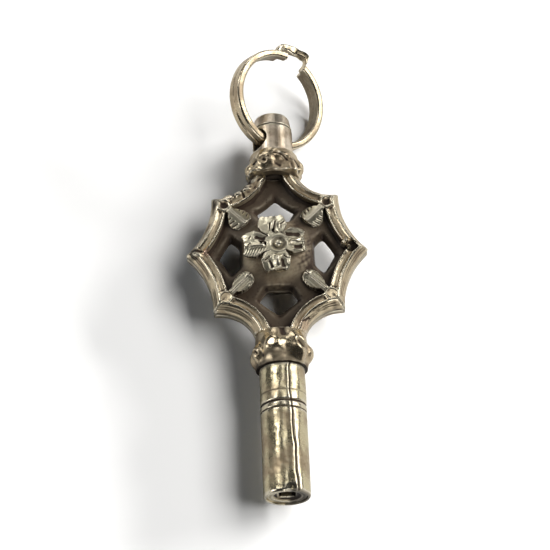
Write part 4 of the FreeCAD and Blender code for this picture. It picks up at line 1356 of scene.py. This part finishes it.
@dataclass
class LoopRing:
    """The split ring."""

    voxel: float = 0.049

    def build(self, material: bpy.types.Material) -> None:
        """Make the ring."""
        piece = Piece("wire_ring", ("split_ring",), Body.RING, Slot.RING)
        CarvedPiece(piece, self.voxel, softness=2, hollow=0.16, carver=RingCarver()).build(material)


class Role(Enum):
    """What a lamp is there for."""

    TABLE = "lights the table and the dirt"
    MIRRORED = "is only mirrored by the metal"


@dataclass(frozen=True)
class Panel:
    """A lamp round the key, with its angles in degrees and its sides in metres.

    The azimuth runs from the key's right towards its ring. A radiance of 1 is white.
    """

    name: str
    role: Role
    azimuth: float
    rise: float
    width: float
    height: float
    radiance: float
    colour: Colour = (1.0, 0.99, 0.97)


@dataclass
class Studio:
    """The camera, the lamps and the pale floor."""

    distance: float = 140.0
    tilt: float = 27.32
    turn: float = -0.86
    roll: float = -2.36
    aim: tuple[float, float, float] = (-0.28, -2.11, 0.0)
    pixels_per_mm: float = 10.5
    frame_pixels: float = 550.0
    sensor: float = 36.0
    floor_half: float = 0.5
    floor_seen: float = 0.88
    floor_mirrored: float = 0.5
    floor_unseen: float = 0.12
    floor_roughness: float = 0.9
    surround: Colour = (0.84, 0.84, 0.86)
    dimness: float = 0.02
    lamp_distance: float = 0.5
    nearest: float = 0.01
    panels: tuple[Panel, ...] = (
        Panel("high_light", Role.TABLE, 8.0, 46.0, 0.56, 0.24, 9.2),
        Panel("low_light", Role.TABLE, 22.0, 18.0, 0.30, 0.04, 85.0),
        Panel("left_fill", Role.TABLE, 176.0, 40.0, 0.40, 0.12, 2.0, (0.86, 0.93, 1.0)),
        Panel("right_panel", Role.MIRRORED, 26.0, 30.0, 0.24, 0.24, 3.3),
        Panel("left_panel", Role.MIRRORED, 140.0, 44.0, 0.16, 0.16, 4.4),
        Panel("ring_panel", Role.MIRRORED, 95.0, 22.0, 0.20, 0.20, 2.2),
        Panel("barrel_panel", Role.MIRRORED, -80.0, 24.0, 0.26, 0.26, 2.4),
        Panel("west_panel", Role.MIRRORED, 185.0, 20.0, 0.22, 0.22, 2.8),
        Panel("top_panel", Role.MIRRORED, 80.0, 66.0, 0.16, 0.16, 1.5))

    def camera(self) -> None:
        """Set the camera at the photograph's angle."""
        tilt, turn, roll = (math.radians(angle) for angle in (self.tilt, self.turn, self.roll))
        back = Vector((math.sin(turn) * math.sin(tilt), -math.cos(turn) * math.sin(tilt), math.cos(tilt)))
        right = (-back).cross(Vector((0.0, 1.0, 0.0))).normalized()
        upward = right.cross(-back)
        rolled_right = math.cos(roll) * right + math.sin(roll) * upward
        rolled_up = math.cos(roll) * upward - math.sin(roll) * right
        place = ORIGIN + (Vector(self.aim) + back * self.distance) * MM
        data = bpy.data.cameras.new("camera")
        data.sensor_width = self.sensor
        data.lens = self.sensor * self.pixels_per_mm * self.distance / self.frame_pixels
        data.clip_start = self.nearest
        camera = bpy.data.objects.new("camera", data)
        axes = Matrix((rolled_right, rolled_up, back)).transposed().to_4x4()
        camera.matrix_world = Matrix.Translation(place) @ axes
        bpy.context.scene.collection.objects.link(camera)
        bpy.context.scene.camera = camera

    def lamp(self, panel: Panel) -> None:
        """Add an area lamp that faces the key."""
        data = bpy.data.lights.new(panel.name, "AREA")
        data.shape = "RECTANGLE"
        data.size = panel.width
        data.size_y = panel.height
        data.energy = panel.radiance * math.pi * panel.width * panel.height
        data.color = panel.colour
        azimuth, rise = math.radians(panel.azimuth), math.radians(panel.rise)
        level = math.cos(rise)
        towards = Vector((math.cos(azimuth) * level, math.sin(azimuth) * level, math.sin(rise)))
        thing = bpy.data.objects.new(panel.name, data)
        thing.location = ORIGIN + towards * self.lamp_distance
        thing.rotation_euler = towards.to_track_quat("Z", "Y").to_euler()
        thing.visible_glossy = panel.role is Role.MIRRORED
        thing.visible_diffuse = panel.role is Role.TABLE
        bpy.context.scene.collection.objects.link(thing)

    def lamps(self) -> None:
        """Light the table from the right, and give the metal soft panels to mirror."""
        for panel in self.panels:
            self.lamp(panel)

    def world(self) -> None:
        """Give a plain dim surround."""
        world = bpy.data.worlds.new("surround")
        world.use_nodes = True
        background = world.node_tree.nodes["Background"]
        background.inputs["Color"].default_value = (*self.surround, 1.0)
        background.inputs["Strength"].default_value = self.dimness
        bpy.context.scene.world = world

    def floor(self) -> None:
        """Lay the pale floor."""
        sheet = bmesh.new()
        bmesh.ops.create_grid(sheet, x_segments=1, y_segments=1, size=self.floor_half)
        mesh = bpy.data.meshes.new("floor")
        sheet.to_mesh(mesh)
        sheet.free()
        thing = link(mesh, "floor")
        graph = Graph("pale_floor")
        path = graph.add("ShaderNodeLightPath")
        unseen = graph.blend(Value(graph, path.outputs["Is Glossy Ray"]), (self.floor_unseen,) * 3,
                             (self.floor_mirrored,) * 3)
        colour = graph.blend(Value(graph, path.outputs["Is Camera Ray"]), unseen, (self.floor_seen,) * 3)
        shader = graph.add("ShaderNodeBsdfPrincipled", None, {
            "Base Color": colour, "Roughness": self.floor_roughness, "Specular IOR Level": 0.0})
        mesh.materials.append(graph.finish(shader))

    def build(self) -> None:
        """Set everything that isn't the key."""
        self.camera()
        self.lamps()
        self.world()
        self.floor()
        bpy.context.scene.view_settings.view_transform = "Standard"


def main() -> None:
    """Build the key and its setting, and report each piece."""
    logging.basicConfig(level=logging.INFO, format="%(name)s: %(message)s")
    gilt = AgedGilt()
    Head().build(gilt.material("head_gilt"))
    pale = AgedGilt(metal=(0.90, 0.84, 0.64), dull=(0.72, 0.65, 0.47), polish=0.28, dullness=0.38)
    Ornaments().build(pale.material("ornament_gilt"))
    Knops().build(gilt.material("knop_gilt"))
    yellow = AgedGilt(metal=(0.78, 0.69, 0.45))
    Barrel().build(yellow.material("barrel_gilt"), DarkSteel().material("pipe_steel"))
    rosy = AgedGilt(metal=(0.93, 0.81, 0.65), polish=0.32)
    Swivel().build(rosy.material("post_gilt"))
    LoopRing().build(AgedGilt(polish=0.2).material("ring_gilt"))
    Studio().build()


if __name__ == "__main__":
    main()
